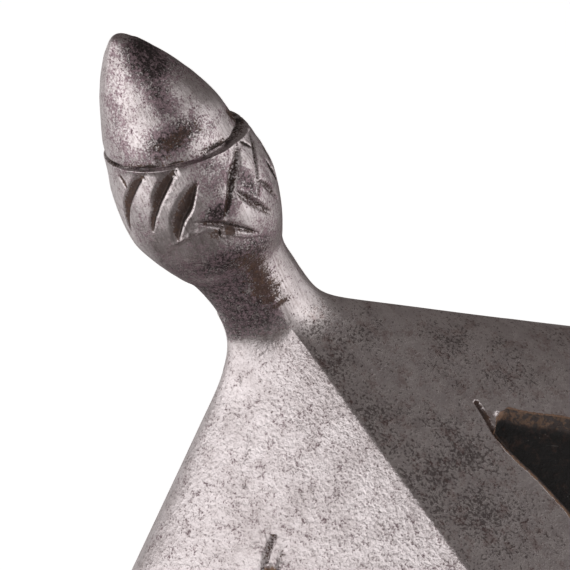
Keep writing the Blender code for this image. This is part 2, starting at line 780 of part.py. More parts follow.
def knuckle_piece(upper, y_low, y_high):
    """A knuckle with the short web that joins it to its leaf, as an outline drawn along the pin."""
    sense = 1.0 if upper else -1.0
    centre = hinge_x()
    outline = [(centre - KNUCKLE, HINGE_HEIGHT + sense * (LEAF_SHOULDER + 0.5 * MM))]
    for step in range(10):
        angle = math.radians(180.0 + sense * 31.0 * step)
        outline.append((centre + KNUCKLE * math.cos(angle), HINGE_HEIGHT + KNUCKLE * math.sin(angle)))
    outline.append((centre - KNUCKLE + LEAF, HINGE_HEIGHT + sense * (KNUCKLE - 0.35 * MM)))
    outline.append((centre - KNUCKLE + LEAF, HINGE_HEIGHT + sense * (LEAF_SHOULDER + 0.5 * MM)))
    return extruded(outline, y_low, y_high)


def build_hinge_leaf(name, upper, side, material, bore, holes):
    half = HINGE_LENGTH / 2.0
    middle = MIDDLE_KNUCKLE / 2.0
    if upper:
        spans = [(-half, -middle - GAP), (middle + GAP, half)]
    else:
        spans = [(-middle, middle)]
    vertices, faces = extruded(leaf_outline(upper), HINGE_Y - half, HINGE_Y + half)
    leaf = mesh_object(name, sided(vertices, side), faces, material, 35.0)
    for index, (low, high) in enumerate(spans):
        vertices, faces = knuckle_piece(upper, HINGE_Y + low, HINGE_Y + high)
        piece = cutter(f"{name}_knuckle_{index}", [(sided(vertices, side), faces)])
        boolean(leaf, piece, "UNION")
    boolean(leaf, bore)
    boolean(leaf, holes)
    return leaf


def build_pin(name, side, material):
    axis = Vector((0.0, 1.0, 0.0))
    half = HINGE_LENGTH / 2.0
    rings = []
    for y, radius in (
        (-half - GAP - PIN_DOME, PIN_HEAD * 0.7), (-half - GAP, PIN_HEAD), (-half - GAP, PIN),
        (half + GAP, PIN), (half + GAP, PIN_HEAD), (half + GAP + PIN_DOME, PIN_HEAD * 0.7),
    ):
        rings.append(round_section(axis * y, axis, radius, 12))
    pin = mesh_object(name, *bridged(rings, "flat", "flat"), material=material)
    pin.location = (side * hinge_x(), HINGE_Y, HINGE_HEIGHT)
    return pin


def rivet_mesh(name, grip, material):
    """A round-headed rivet along +Z whose head's seat is at Z = 0."""
    sections = (
        (RIVET_DOME * 0.75, RIVET_HEAD * 0.62), (0.0, RIVET_HEAD), (0.0, RIVET_SHANK),
        (-grip, RIVET_SHANK), (-grip, RIVET_TAIL),
    )
    rings = [[Vector((0.0, 0.0, RIVET_DOME))]]
    rings += [round_section(UP * z, UP, radius, RIVET_SIDES) for z, radius in sections]
    rings.append([Vector((0.0, 0.0, -grip - RIVET_TAIL_DOME))])
    vertices, faces = bridged(rings)
    item = mesh_object(name, vertices, faces, material)
    mesh = item.data
    bpy.data.objects.remove(item)
    return mesh


def plate_rivet_places():
    """Name, half, turn of each rivet that holds the peak or the neck guard."""
    places = [(f"rivet_peak_{i + 1}", "front", turn) for i, turn in enumerate(PEAK_RIVETS)]
    places += [(f"rivet_neck_{i + 1}", "rear", turn) for i, turn in enumerate(NECK_RIVETS)]
    return places


def leaf_rivet_places():
    """Name, whether it is in the upper leaf, side, seat point and outward direction."""
    places = []
    for side, word in ((1, "left"), (-1, "right")):
        for index, y in enumerate((HINGE_Y - LEAF_RIVET_Y, HINGE_Y + LEAF_RIVET_Y)):
            x = hinge_x() - KNUCKLE + LEAF + GAP
            seat = Vector((side * x, y, HINGE_HEIGHT + LEAF_RIVET_Z))
            places.append((f"rivet_hinge_{word}_{index + 1}", True, side, seat, LEFT * side))
            z = HINGE_HEIGHT - LEAF_RIVET_Z
            rise = (cheek_inset(z - MM) - cheek_inset(z + MM)) / (2.0 * MM)
            out = Vector((side, 0.0, -rise)).normalized()
            root = Vector((side * (hinge_x() - KNUCKLE - cheek_inset(z)), y, z))
            seat = root + out * (LEAF + GAP)
            places.append((f"rivet_cheek_{word}_{index + 1}", False, side, seat, out))
    return places


def place_rivet(name, mesh, seat, out):
    rivet = bpy.data.objects.new(name, mesh)
    bpy.context.scene.collection.objects.link(rivet)
    rivet.location = seat
    rivet.rotation_euler = out.to_track_quat("Z", "Y").to_euler()
    return rivet


def hole_prisms():
    """The rivet holes as prisms through all the plates they cross."""
    reach = 6 * MM
    prisms = []
    axes = []
    for _, half, turn in plate_rivet_places():
        axes.append(shell_point(half, RIVET_LEVEL, turn))
    for _, _, _, seat, out in leaf_rivet_places():
        axes.append((seat - out * 2.0 * MM, out))
    for centre, out in axes:
        ends = [round_section(centre + out * d, out, RIVET_HOLE, RIVET_SIDES) for d in (-reach, reach)]
        prisms.append(bridged(ends, "flat", "flat"))
    return prisms


def clear_scene():
    for item in list(bpy.data.objects):
        bpy.data.objects.remove(item)


def main():
    clear_scene()
    bright = steel("bright_steel", (0.50, 0.46, 0.46), 0.36)
    plain = steel("plate_steel", (0.42, 0.39, 0.38), 0.40)
    dark = steel("hinge_steel", (0.24, 0.21, 0.20), 0.48)
    rivet_steel = steel("rivet_steel", (0.33, 0.29, 0.27), 0.42)

    holes = cutter("rivet_hole_cutter", hole_prisms())
    build_skull(bright, holes)
    build_peak(plain, holes)
    build_neck_guard(plain, holes)

    plate_grip = GAP + PLATE + COLLAR_GAP + WALL + TAIL_ROOM
    plate_rivet = rivet_mesh("plate_rivet", plate_grip, rivet_steel)
    for name, half, turn in plate_rivet_places():
        seat, out = shell_point(half, RIVET_LEVEL, turn, COLLAR_GAP + PLATE + GAP)
        place_rivet(name, plate_rivet, seat, out)

    axis_empties = {}
    for side, word in ((1, "left"), (-1, "right")):
        empty = bpy.data.objects.new(f"cheek_axis_{word}", None)
        empty.location = (side * hinge_x(), HINGE_Y, HINGE_HEIGHT)
        bpy.context.scene.collection.objects.link(empty)
        bpy.context.view_layer.update()
        axis_empties[side] = empty

        vertices, faces = sheet_solid(cheek_grid(), PLATE)
        cheek = mesh_object(f"cheekpiece_{word}", sided(vertices, side), faces, plain, 35.0)
        boolean(cheek, holes)
        hang(cheek, empty)

        centre = Vector((side * hinge_x(), HINGE_Y, HINGE_HEIGHT))
        axis = Vector((0.0, 1.0, 0.0))
        ends = [round_section(centre + axis * y, axis, PIN_BORE, 16) for y in (-HINGE_LENGTH, HINGE_LENGTH)]
        bore = cutter(f"hinge_bore_{word}", [bridged(ends, "flat", "flat")])
        build_hinge_leaf(f"hinge_upper_{word}", True, side, dark, bore, holes)
        lower = build_hinge_leaf(f"hinge_lower_{word}", False, side, dark, bore, holes)
        hang(lower, empty)
        build_pin(f"hinge_pin_{word}", side, dark)

    hinge_rivet = rivet_mesh("hinge_rivet", GAP + LEAF + LEAF_STANDOFF + WALL + TAIL_ROOM, rivet_steel)
    cheek_rivet = rivet_mesh("cheek_rivet", GAP + LEAF + LEAF_STANDOFF + PLATE + TAIL_ROOM, rivet_steel)
    for name, upper, side, seat, out in leaf_rivet_places():
        rivet = place_rivet(name, hinge_rivet if upper else cheek_rivet, seat, out)
        if not upper:
            rivet.location = seat - axis_empties[side].location
            rivet.parent = axis_empties[side]


main()
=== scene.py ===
"""A burgonet with an acorn finial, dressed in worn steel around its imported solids."""
import math

import json

import bmesh
import bpy
import numpy as np
from mathutils import Matrix, Vector


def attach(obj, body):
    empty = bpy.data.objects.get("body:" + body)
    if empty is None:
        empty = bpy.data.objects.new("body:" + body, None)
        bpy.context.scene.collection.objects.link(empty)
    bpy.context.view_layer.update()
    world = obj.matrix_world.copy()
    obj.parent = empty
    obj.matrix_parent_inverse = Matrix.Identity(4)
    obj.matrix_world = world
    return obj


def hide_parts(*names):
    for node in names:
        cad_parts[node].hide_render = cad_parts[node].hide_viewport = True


bl_info = {
    "name": "Burgonet",
    "version": (1, 0, 0),
    "blender": (4, 5, 0),
    "location": "3D View > Sidebar > Burgonet",
    "description": "Builds a ridged steel helmet with an acorn finial, a peak, a neck guard and cheekpieces",
    "category": "Object",
}

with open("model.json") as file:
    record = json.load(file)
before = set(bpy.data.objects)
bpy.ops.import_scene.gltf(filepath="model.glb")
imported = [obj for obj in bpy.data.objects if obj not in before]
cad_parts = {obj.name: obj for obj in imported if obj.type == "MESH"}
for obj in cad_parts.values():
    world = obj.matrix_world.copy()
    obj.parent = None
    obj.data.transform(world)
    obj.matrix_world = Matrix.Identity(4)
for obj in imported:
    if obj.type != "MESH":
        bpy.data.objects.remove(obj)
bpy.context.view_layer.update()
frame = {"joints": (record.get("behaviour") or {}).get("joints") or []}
MM = 0.001

# The skull's form, in mm. +Z is up, the face looks along -Y, and the wearer's left is +X.
APEX = np.array((0.0, 50.0, 238.0))
RIDGE_RUN = 40.0
RUN_SHARE = 0.2
CREST_FULLNESS = {"front": 0.42, "rear": 0.3}
FULLNESS_SPAN = (0.2, 0.95)
RIDGES = {
    "front": dict(bearing=0.0, drop=14.5, handle=53.0, pull=(0.0, -104.0, 172.0), rim=(0.0, -110.0, 118.0)),
    "side": dict(bearing=65.3, drop=38.3, handle=70.0, pull=(98.0, 0.0, 150.0), rim=(97.0, -4.0, 100.0)),
    "rear": dict(bearing=180.0, drop=64.4, handle=53.0, pull=(0.0, 125.0, 110.0), rim=(0.0, 118.0, 62.0)),
}
FIELD_WALL = 1.3
FIELD_END = 0.86
FIELD_END_WALL = 0.012
BAND_GROWTH = 65.0
BANDS = {
    "front": dict(tip=31.9, keel=(15.6, 27.0), side=(16.6, 14.0)),
    "rear": dict(tip=34.5, keel=(17.45, 27.0), side=(20.25, 23.3)),
}
# How much narrower the front fields' bands are beside the tip, where the chisel squared it off
SQUARED = {
    # mm past the tip, mm narrower
    "keel": (
        (-1.2, -0.3), (-0.25, -0.6), (0.15, 0.45), (1.8, 0.56), (3.2, 0.6), (5.0, 0.82), (7.0, 1.03), (10.0, 0.95),
        (26.0, 0.0),
    ),
    "side": (
        (-1.2, -0.3), (-0.25, -0.6), (0.15, 1.4), (1.1, 1.57), (2.8, 1.43), (4.8, 1.0), (6.6, 0.46), (8.5, 0.03),
        (12.1, -0.62), (30.0, 0.0),
    ),
}
SKULL_WALL = 1.8
NARROWEST_FLOOR = 0.5
NARROWEST_WALL = 0.25
RIDGE_CREASE = 0.38  # half the width of a side ridge's worn top
KEEL_CREASE = 0.2  # and of a keel's
EDGE_EASE = 0.16  # and of the worn edge of a sunk field
EDGE_RIM = 0.38  # width of the rusty rim beside it
EDGE_RUST = (0.8, 0.5)  # how rusty the edge and its rim are beside the field's floor

# Columns across one quarter: keel band, edge, field, edge, side band
FINE_COLUMNS = (15, 5, 14, 5, 17)
PLAIN_COLUMNS = (8, 3, 8, 3, 9)

# The finial's form about its own axis, in mm
FINIAL_LEAN = math.radians(26.1)
FINIAL_AXIS = np.array((0.0, math.sin(FINIAL_LEAN), math.cos(FINIAL_LEAN)))
FINIAL_FRONT = np.array((0.0, -math.cos(FINIAL_LEAN), math.sin(FINIAL_LEAN)))
LEFT = np.array((1.0, 0.0, 0.0))
NUT_PROFILE = (
    # height, radius
    (18.5, 7.45), (21.0, 7.1), (23.4, 6.76), (24.8, 6.4), (26.6, 5.7),
    (29.6, 4.38), (32.1, 2.95), (33.3, 2.1), (34.05, 1.42), (34.5, 1.0), (34.77, 0.66), (34.91, 0.34), (34.96, 0.0),
)
CUP_PROFILE = (
    # height, radius
    (-9.0, 5.2), (2.0, 5.2), (3.7, 5.34), (5.1, 5.68), (6.3, 6.33), (8.2, 7.2), (10.1, 7.92),
    (11.8, 8.4), (13.6, 8.7), (15.7, 8.64), (17.6, 8.4), (19.2, 8.06), (20.9, 7.56), (22.9, 7.1),
)
STEM_FLATNESS = 0.12
STEM_FLAT_SPAN = (4.0, 9.0)
STEM_BEND = 1.6
STEM_BEND_SPAN = (-9.0, 12.0)
FRONT_FILLET = 1.15
REAR_FILLET = 2.0
FACET_FILLETS = dict(rear=0.24, front=0.75)
STEM_PINCH = 0.45  # how much slimmer the stem is on the facets' sides at its foot
STEM_PINCH_SPAN = (1.5, -3.0)
SEAM_HEIGHT = 21.3
SEAM_SKEW = 1.7
SEAM_LOW_BEARING = -10.0
SEAM_LIP = 0.95
SEAM_SHAPE = (
    # rise above the seam, share of its depth
    (0.55, 0.0), (0.40, 0.02), (0.30, 0.10), (0.21, 0.36), (0.12, 0.8), (0.0, 1.0), (-0.10, 0.85),
    (-0.17, 0.5), (-0.24, 0.12), (-0.32, -0.08), (-0.44, -0.08), (-0.60, 0.0),
)

# How the cuts run out on the surface, in mm
CUT_SPREAD = 1.15  # how much wider than its table row a finial's cut runs out
CUT_BURR = 0.3  # and how much of its row's lip is left
BURR_PLACE = 1.15  # where a burr stands, in widths of its cut
BURR_SPREAD = 0.34
NUT_DIRT = 0.4
# Share of a cut's painted shade that the facets' cuts keep
FACET_GROOVE_SHADE = 0.4
CUT_ROOM = 0.25  # the faces this near a cut are split, so that its walls are crisp
FACET_CUT_ROOM = 0.4

# Cuts in the cup. Places are (bearing in degrees from the finial's front, height in mm). A line that runs
# down has its first width and a negative lip on the wearer's rear side. The lip is a raised burr.
CUP_CUTS = (
    # line, first width, second width, depth, lip, dirt (full where none is given)
    (((-164, 21.8), (-160, 21.2), (-157, 20.4)), 0.35, 0.3, 0.25, 0.0),
    (((-130, 22.0), (-145, 20.8), (-157, 19.2), (-165, 17.5), (-173, 14.6)), 0.95, 0.42, 0.62, 0.08),
    (((-104, 21.4), (-117, 20.2), (-130, 18.6), (-137, 17.0)), 1.15, 0.38, 0.8, 0.16),
    (((-130, 18.6), (-139, 17.0), (-146, 15.2)), 0.5, 0.3, 0.3, 0.05),
    (((-95, 19.2), (-104, 17.8), (-110, 16.8), (-120, 15.6), (-131, 13.2)), 1.7, 0.3, 0.85, 0.2),
    (((-47, 19.8), (-60, 18.2), (-68, 17.5), (-78, 16.0), (-95, 13.2)), 0.95, 0.8, 0.7, -0.08, 0.6),
    (((-112, 15.2), (-100, 14.0), (-87, 12.2), (-70, 9.6)), 0.35, 0.75, 0.55, -0.14, 0.6),
    (((-98, 13.3), (-100, 12.0)), 0.2, 0.2, 0.25, 0.0),
    (((-74, 16.0), (-66, 13.6), (-50, 9.9)), 0.75, 0.6, 0.5, 0.12, 0.5),
    (((-69, 13.9), (-60, 12.2), (-50, 10.4)), 0.3, 0.35, 0.45, 0.0, 0.5),
    (((-53, 15.2), (-44, 13.0), (-34, 10.6)), 0.6, 0.5, 0.5, 0.1, 0.5),
    (((-20, 19.4), (-30, 18.2), (-42, 16.8), (-52, 15.0), (-61, 13.0)), 0.35, 0.4, 0.4, 0.05, 0.5),
    (((-45, 19.4), (-41, 18.7), (-37, 17.8)), 0.25, 0.3, 0.3, 0.0),
    (((-30, 15.4), (-27, 13.4), (-22, 11.6)), 0.6, 0.45, 0.5, 0.08),
    (((-14, 17.6), (-12, 15.4), (-8, 13.0)), 0.5, 0.45, 0.45, 0.08),
)
PLAIN_CUTS = dict(bearings=range(4, 186, 26), top=19.4, bottom=13.6, sweep=-26, widths=(1.0, 0.4), depth=0.62)
NUT_CUTS = (
    (((-82, 23.9), (-74, 23.6), (-65, 22.9)), 0.25, 0.3, 0.14, 0.04),
    (((-80, 24.7), (-70, 24.1)), 0.15, 0.2, 0.09, 0.0),
    (((-129, 24.0), (-118, 23.7), (-106, 23.4)), 0.1, 0.12, 0.08, 0.02),
    (((-128, 23.1), (-116, 23.0), (-104, 22.7)), 0.1, 0.12, 0.08, 0.02),
    (((-26, 22.3), (-18, 21.0), (-12, 20.2)), 0.6, 0.7, 0.3, 0.0),
)
# Broad flats dressed on the cup with a hammer and file: the same places, with wide one-sided slopes
CUP_FLATS = (
    # line, first width, second width, depth
    (((-104, 21.4), (-117, 20.2), (-132, 18.4), (-146, 15.4)), 2.3, 0.3, 0.18),
    (((-95, 19.4), (-110, 16.9), (-120, 15.6), (-133, 13.2)), 1.5, 0.3, 0.3),
    (((-49, 19.6), (-70, 17.5), (-80, 16.0), (-96, 13.4)), 0.3, 2.8, 0.34),
    (((-160, 10.6), (-140, 12.6), (-122, 13.5), (-104, 13.2), (-84, 10.4), (-60, 8.4)), 2.6, 0.25, 0.32),
)
# Raised edges between those flats
CUP_RIDGES = (
    # line, width either side, height
    (((-156, 11.0), (-140, 12.4), (-126, 13.3), (-110, 13.6), (-100, 12.1), (-88, 10.7), (-74, 9.5)), 0.2, 0.5),
)
# Marks in the skull's facets. Places are (mm down the ridges, turn in degrees from the keel to the side ridge).
FACET_MARKS = (
    # half, line, first width, second width, depth, lip, dirt
    ("rear", ((8.4, 29.5), (10.3, 32), (12.2, 33.5)), 0.5, 0.45, 0.3, 0.05, 0.5),
    ("rear", ((17.8, 44), (20.3, 44.8), (22.1, 43), (24.3, 44.5), (28.6, 42.4)), 0.22, 0.22, 0.12, 0.10, 0.1),
    ("rear", ((31.5, 55.4), (33.7, 53.6), (35.8, 52.4), (39.0, 50.8)), 1.0, 0.22, 0.5, -0.08, 0.45),
    ("rear", ((33.2, 57.4), (34.5, 56.3), (36.0, 55.5), (39.0, 54.4)), 0.5, 0.2, 0.42, -0.06, 0.45),
    ("rear", ((21.8, 13), (21.4, 18), (21.6, 24)), 0.08, 0.08, 0.05, 0.0, 0.3),
    # Painted shade, partly: this groove runs on along the front field's lower edge, where its full dirt stands for the
    # wall's shadow
    ("front", ((28.3, 51.2), (29.8, 53.7), (31.4, 56.3), (32.7, 58.2), (34.6, 59.7)), 0.5, 0.55, 0.42, 0.02, 1.0),
    ("front", ((7.5, 55.5), (9.5, 58), (11.6, 59.5)), 0.14, 0.14, 0.09, 0.0, 0.7),
    ("front", ((8.4, 52), (10.4, 55)), 0.1, 0.1, 0.06, 0.0, 0.6),
    ("front", ((16.2, 72), (17.0, 61), (17.4, 54)), 0.06, 0.06, 0.04, 0.0, 0.0),
    ("front", ((20.0, 80), (17.8, 70)), 0.06, 0.06, 0.04, 0.0, 0.0),
)
PLAIN_TIP_CUT = dict(before=3.6, past=2.4, widths=(0.5, 0.5), depth=0.6)

# Stains on the finial, with painted shade and a painted dark reflection among them: bearing, height, half width and
# half height in mm, strength
STAINS_AND_SHADE = (
    # Painted dark reflection, partly: the rows on the nut at bearings -62 to -112 and heights 22 to 32 mm darken the
    # band across it that faces the wearer's right, as well as staining it
    (-90, 32.0, 2.6, 2.4, 0.85), (-62, 31.8, 2.4, 1.8, 0.7), (-104, 28.4, 1.5, 3.0, 0.7),
    (-84, 30.4, 2.0, 1.2, 0.35), (-38, 29.6, 2.4, 1.6, 0.55), (-16, 27.4, 2.2, 2.0, 0.5),
    (-112, 24.2, 3.0, 1.6, 0.9), (-90, 24.2, 2.0, 1.5, 0.55), (-72, 22.8, 2.2, 0.9, 0.5),
    (-158, 27.0, 2.4, 7.0, 0.42), (-140, 22.9, 4.0, 1.0, 0.45), (-150, 33.0, 2.0, 1.6, 0.4),
    (-17, 20.9, 1.6, 1.3, 1.0), (-93, 20.4, 2.2, 1.8, 0.45), (-101, 18.0, 1.8, 2.0, 0.4),
    (-103, 15.0, 1.9, 1.1, 1.0), (-72, 15.4, 1.3, 2.4, 0.7), (-97, 17.6, 1.4, 2.6, 0.5), (-86, 18.4, 1.4, 2.2, 0.5),
    # Painted shade, partly: the rows at bearings -96 to -150 and heights 6 to 9 mm darken the neck under the cup's
    # swell
    (-52, 13.0, 2.6, 3.0, 0.4), (-120, 9.0, 6.0, 2.6, 0.6), (-96, 8.4, 4.0, 2.4, 0.7), (-150, 9.0, 5.0, 3.0, 0.5),
    (-160, 15.0, 2.0, 4.0, 0.35), (-30, 14.0, 3.0, 4.0, 0.35), (-118, 6.3, 5.0, 1.9, 0.6),
    (60, 28.0, 4.0, 4.0, 0.6), (120, 8.0, 6.0, 4.0, 0.5), (20, 3.0, 5.0, 3.5, 0.4), (140, 17.0, 5.0, 4.0, 0.4),
    (120, -1.0, 5.0, 3.0, 0.6),
)
# Thick brown rust on the finial: the same columns
RUST_SPOTS = (
    (-103, 7.6, 1.6, 1.2, 0.55), (-97, 6.0, 1.3, 1.0, 0.75), (-98, 4.2, 1.2, 1.1, 0.8), (-101, 2.4, 1.4, 1.0, 0.8),
    (-97, 0.8, 1.2, 0.6, 0.75), (-90, -0.4, 1.2, 0.35, 0.8), (-84, 1.6, 0.9, 0.25, 0.7), (-86, 3.4, 0.8, 0.25, 0.6),
    (-110, 24.0, 2.4, 0.8, 0.55), (-17, 20.9, 1.5, 1.0, 0.8), (-101, 12.4, 0.7, 0.8, 0.8), (-112, 12.8, 0.8, 0.7, 0.7),
)
# The neck's dark skin ends along this line
NECK_FOOT = (
    # bearing, height
    (-180, -3.1), (-156, -2.75), (-132, -3.2), (-109, -3.5), (-86, -3.8),
)
# Where pits crowd on the facets: half, mm down the ridges, turn, spread down and across in mm, strength
PITTED = (
    ("rear", 7.0, 70, 3.0, 3.0, 0.5), ("rear", 13.0, 14, 4.0, 2.5, 0.5), ("rear", 18.0, 80, 8.0, 3.0, 0.6),
    ("rear", 27.0, 70, 7.0, 6.0, 0.7), ("rear", 38.0, 78, 9.0, 8.0, 0.8), ("rear", 27.5, 26, 3.0, 6.0, 0.6),
    ("rear", 35.0, 34, 4.0, 8.0, 0.4), ("front", 12.0, 86, 5.0, 1.6, 0.9), ("front", 20.0, 86, 7.0, 1.8, 0.8),
    ("front", 29.0, 84, 8.0, 2.6, 0.8), ("front", 23.9, 34, 3.0, 3.5, 0.5), ("front", 29.8, 36, 3.0, 3.5, 0.6),
    ("front", 30.3, 68, 4.0, 3.5, 0.9), ("front", 35.7, 78, 4.5, 4.5, 0.9), ("front", 12.0, 50, 3.0, 3.0, 0.4),
    ("front", 8.0, 70, 2.5, 2.5, 0.5),
)

# Plates, in mm
COLLAR_TOP = 0.93
COLLAR_GAP = 0.6
PEAK = dict(half_turn=60.0, reach=50.8, end_reach=7.0, slope=11.0, bead=2.0)
NECK = dict(half_turn=72.0, reach=42.02, end_reach=11.0, edge_rise=54.0, bead=2.2)
NECK_LEVEL_TURN = 17.0
NECK_BELLY = 0.42
CHEEK = dict(front_top=-48.0, front_low=-38.0, rear_top=30.0, rear_low=6.0, inset=22.0, corner=15.0)
CHEEK_TUCK_SHARE = 0.963
CHEEK_JOGGLE = 4.0
CHEEK_TUCK_GAP = 1.2
GAP = 0.3
KNUCKLE = 3.0
PIN = 1.4
PIN_HEAD = 2.2
PIN_DOME = (
    # mm past the hinge's end, radius
    (1.1, 0.0), (1.08, 0.7), (0.85, 1.5), (0.4, 2.05),
)
PIN_SIDES = 32
HINGE_LENGTH = 30.0
MIDDLE_KNUCKLE = 10.0
LEAF = 1.4
LEAF_REACH = 24.0
LEAF_SHOULDER = 3.5
LEAF_STANDOFF = 1.1
LEAF_CLIP = 5.0
RIVET_SHANK = 1.5
RIVET_TAIL = 2.5
TAIL_ROOM = 1.4
PEAK_RIVETS = (-48, -24, 0, 24, 48)
NECK_RIVETS = (-56, -28, 0, 28, 56)
RIVET_LEVEL = 0.963
LEAF_RIVET_Y = 9.0
LEAF_RIVET_Z = 15.0


def hinge_axis():
    """The left cheekpiece's hinge axis as the record gives it, in mm."""
    joint = [j for j in frame["joints"] if j["name"] == "cheek_hinge_left"][0]
    return np.array(joint["pos_m"]) / MM


HINGE = hinge_axis()


# Numbers

def mix(a, b, share):
    return a + (b - a) * share


def smooth_step(low, high, value):
    """0 at low, 1 at high, and smooth between; low may be the larger."""
    share = np.clip((value - low) / (high - low), 0.0, 1.0)
    return share * share * (3.0 - 2.0 * share)


def unit(vectors):
    return vectors / np.maximum(np.linalg.norm(vectors, axis=-1, keepdims=True), 1e-12)


def table_value(table, key):
    """Read a two-column table with a smooth curve through its rows, for an array of keys."""
    xs, ys = np.array(table).T
    key = np.clip(key, xs[0], xs[-1])
    slopes = np.empty(len(xs))
    slopes[1:-1] = (ys[2:] - ys[:-2]) / (xs[2:] - xs[:-2])
    slopes[0] = (ys[1] - ys[0]) / (xs[1] - xs[0])
    slopes[-1] = (ys[-1] - ys[-2]) / (xs[-1] - xs[-2])
    index = np.clip(np.searchsorted(xs, key) - 1, 0, len(xs) - 2)
    span = xs[index + 1] - xs[index]
    t = (key - xs[index]) / span
    return (
        ys[index] * (2 * t**3 - 3 * t**2 + 1) + slopes[index] * span * (t**3 - 2 * t**2 + t)
        + ys[index + 1] * (3 * t**2 - 2 * t**3) + slopes[index + 1] * span * (t**3 - t**2)
    )


def lattice_noise(points, size, seed):
    """Smooth noise from -1 to 1 with features of one size, for an array of points."""
    p = points / size
    cell = np.floor(p).astype(np.int64)
    f = p - cell
    f = f * f * (3 - 2 * f)
    total = 0.0
    for corner in np.ndindex(2, 2, 2):
        at = cell + corner
        code = (at[..., 0] * 73856093) ^ (at[..., 1] * 19349663) ^ (at[..., 2] * 83492791) ^ (seed * 2654435761)
        code = (code ^ (code >> 13)) * 1274126177 & 0x7FFFFFFF
        value = (code % 65536) / 32768.0 - 1.0
        weight = np.prod(np.where(np.array(corner) == 1, f, 1 - f), axis=-1)
        total = total + value * weight
    return total


# The skull's surface

def ridge_share(distance):
    """The share of the way to the rim that lies some mm down the ridges."""
    return distance / RIDGE_RUN * RUN_SHARE


def ridge_line(name, share):
    """Points of a ridge line at an array of shares of the way from the apex to the rim."""
    ridge = RIDGES[name]
    bearing = math.radians(ridge["bearing"])
    drop = math.radians(ridge["drop"])
    level = math.cos(drop)
    direction = np.array((math.sin(bearing) * level, -math.cos(bearing) * level, -math.sin(drop)))
    share = np.asarray(share, float)[..., None]
    start = APEX + direction * RIDGE_RUN
    handle = start + direction * ridge["handle"]
    t = np.clip((share - RUN_SHARE) / (1.0 - RUN_SHARE), 0.0, 1.0)
    curve = (
        start * (1 - t)**3 + handle * (3 * t * (1 - t)**2)
        + np.array(ridge["pull"]) * (3 * t**2 * (1 - t)) + np.array(ridge["rim"]) * t**3
    )
    return np.where(share <= RUN_SHARE, APEX + direction * (RIDGE_RUN * share / RUN_SHARE), curve)


def section_point(half, share, turn):
    """Points of the smooth surface: turn 0 is the keel, 90 the side ridge, and less than 0 the wearer's right."""
    keel = ridge_line(half, share)
    side = ridge_line("side", share)
    fullness = mix(CREST_FULLNESS[half], 1.0, smooth_step(*FULLNESS_SPAN, share))
    angle = np.radians(np.abs(turn))
    flat = 1.0 - np.cos(angle)
    across = mix(flat, np.sin(angle), fullness)
    down = mix(flat, np.sin(angle)**2, fullness)
    return np.stack((
        side[..., 0] * across * np.where(turn < 0, -1.0, 1.0),
        mix(side[..., 1], keel[..., 1], np.cos(angle)),
        mix(keel[..., 2], side[..., 2], down),
    ), -1)


def shell_point(half, share, turn, offset=0.0):
    """Points off the smooth surface and the outward normals there."""
    share = np.asarray(share, float)
    turn = np.asarray(turn, float)
    low = np.minimum(share, 0.99)
    step = np.where(turn < 0, -0.5, 0.5)
    level = np.abs(turn) < 0.01
    back = np.where(level, turn, turn - step)
    along = section_point(half, share, turn + step) - section_point(half, share, back)
    along = np.where(level[..., None], LEFT, along * np.sign(step)[..., None])
    down = section_point(half, low + 0.01, turn) - section_point(half, low, turn)
    normal = unit(np.cross(along, down))
    if half == "front":
        normal = -normal
    return section_point(half, share, turn) + normal * offset, normal


def band_width(half, beside, share):
    """Width of the raised band beside the keel or the side ridge."""
    distance = RIDGE_RUN * share / RUN_SHARE
    past_tip = distance - BANDS[half]["tip"]
    width = mix(*BANDS[half][beside], 1.0 - math.exp(-max(past_tip, 0.0) / BAND_GROWTH))
    return width - (float(table_value(SQUARED[beside], past_tip)) if half == "front" else 0.0)


def quarter_columns(half, share, columns):
    """The turns of the columns across a quarter at one level, and how far each is sunk, 0 to 1."""
    turns = np.linspace(0.0, 90.0, 181)
    points = section_point(half, np.full(turns.shape, share), turns)
    lengths = np.concatenate(([0.0], np.cumsum(np.linalg.norm(np.diff(points, axis=0), axis=1))))
    total = lengths[-1]
    keel_band = band_width(half, "keel", share)
    side_band = band_width(half, "side", share)
    free = total - keel_band - side_band
    edge = min(max((free - NARROWEST_FLOOR) / 2.0, NARROWEST_WALL), FIELD_WALL)
    floor = max(free - 2.0 * edge, NARROWEST_FLOOR)
    sunk = min(max((free - NARROWEST_FLOOR) / (2.0 * FIELD_WALL), 0.0), 1.0)
    sunk *= 1.0 - smooth_step(FIELD_END, FIELD_END + FIELD_END_WALL, share)
    fit = (total - floor - 2.0 * edge) / (keel_band + side_band)
    keel_count, edge_count, floor_count, _, side_count = columns

    def band(width, count, crease):
        rest = (width * fit - crease - EDGE_EASE - EDGE_RIM) / (count - 3)
        return [crease] + [rest] * (count - 3) + [EDGE_RIM, EDGE_EASE]

    ease = min(EDGE_EASE, floor * 0.2)
    widths = band(keel_band, keel_count, KEEL_CREASE) + [edge / edge_count] * edge_count
    widths += [ease] + [(floor - 2 * ease) / (floor_count - 2)] * (floor_count - 2) + [ease]
    widths += [edge / edge_count] * edge_count
    widths += band(side_band, side_count, RIDGE_CREASE)[::-1]
    count = len(widths)
    fitted = smooth_step(0.05, 0.14, share) * (1.0 - smooth_step(FIELD_END + FIELD_END_WALL, 1.0, share))
    places = np.concatenate(([0.0], np.cumsum(mix(total / count, np.array(widths), fitted))))
    ramp = smooth_step(0.0, 1.0, np.arange(1, edge_count) / edge_count)
    depths = np.concatenate((
        np.zeros(keel_count + 1), ramp, np.ones(floor_count + 1), ramp[::-1], np.zeros(side_count + 1),
    ))
    rusty = depths.copy()
    rusty[keel_count:-side_count] = np.maximum(rusty[keel_count:-side_count], EDGE_RUST[0])
    rusty[[keel_count - 1, -side_count]] = EDGE_RUST[1]
    return np.interp(places, lengths, turns), depths * sunk, rusty * min(sunk * 1.3, 1.0)


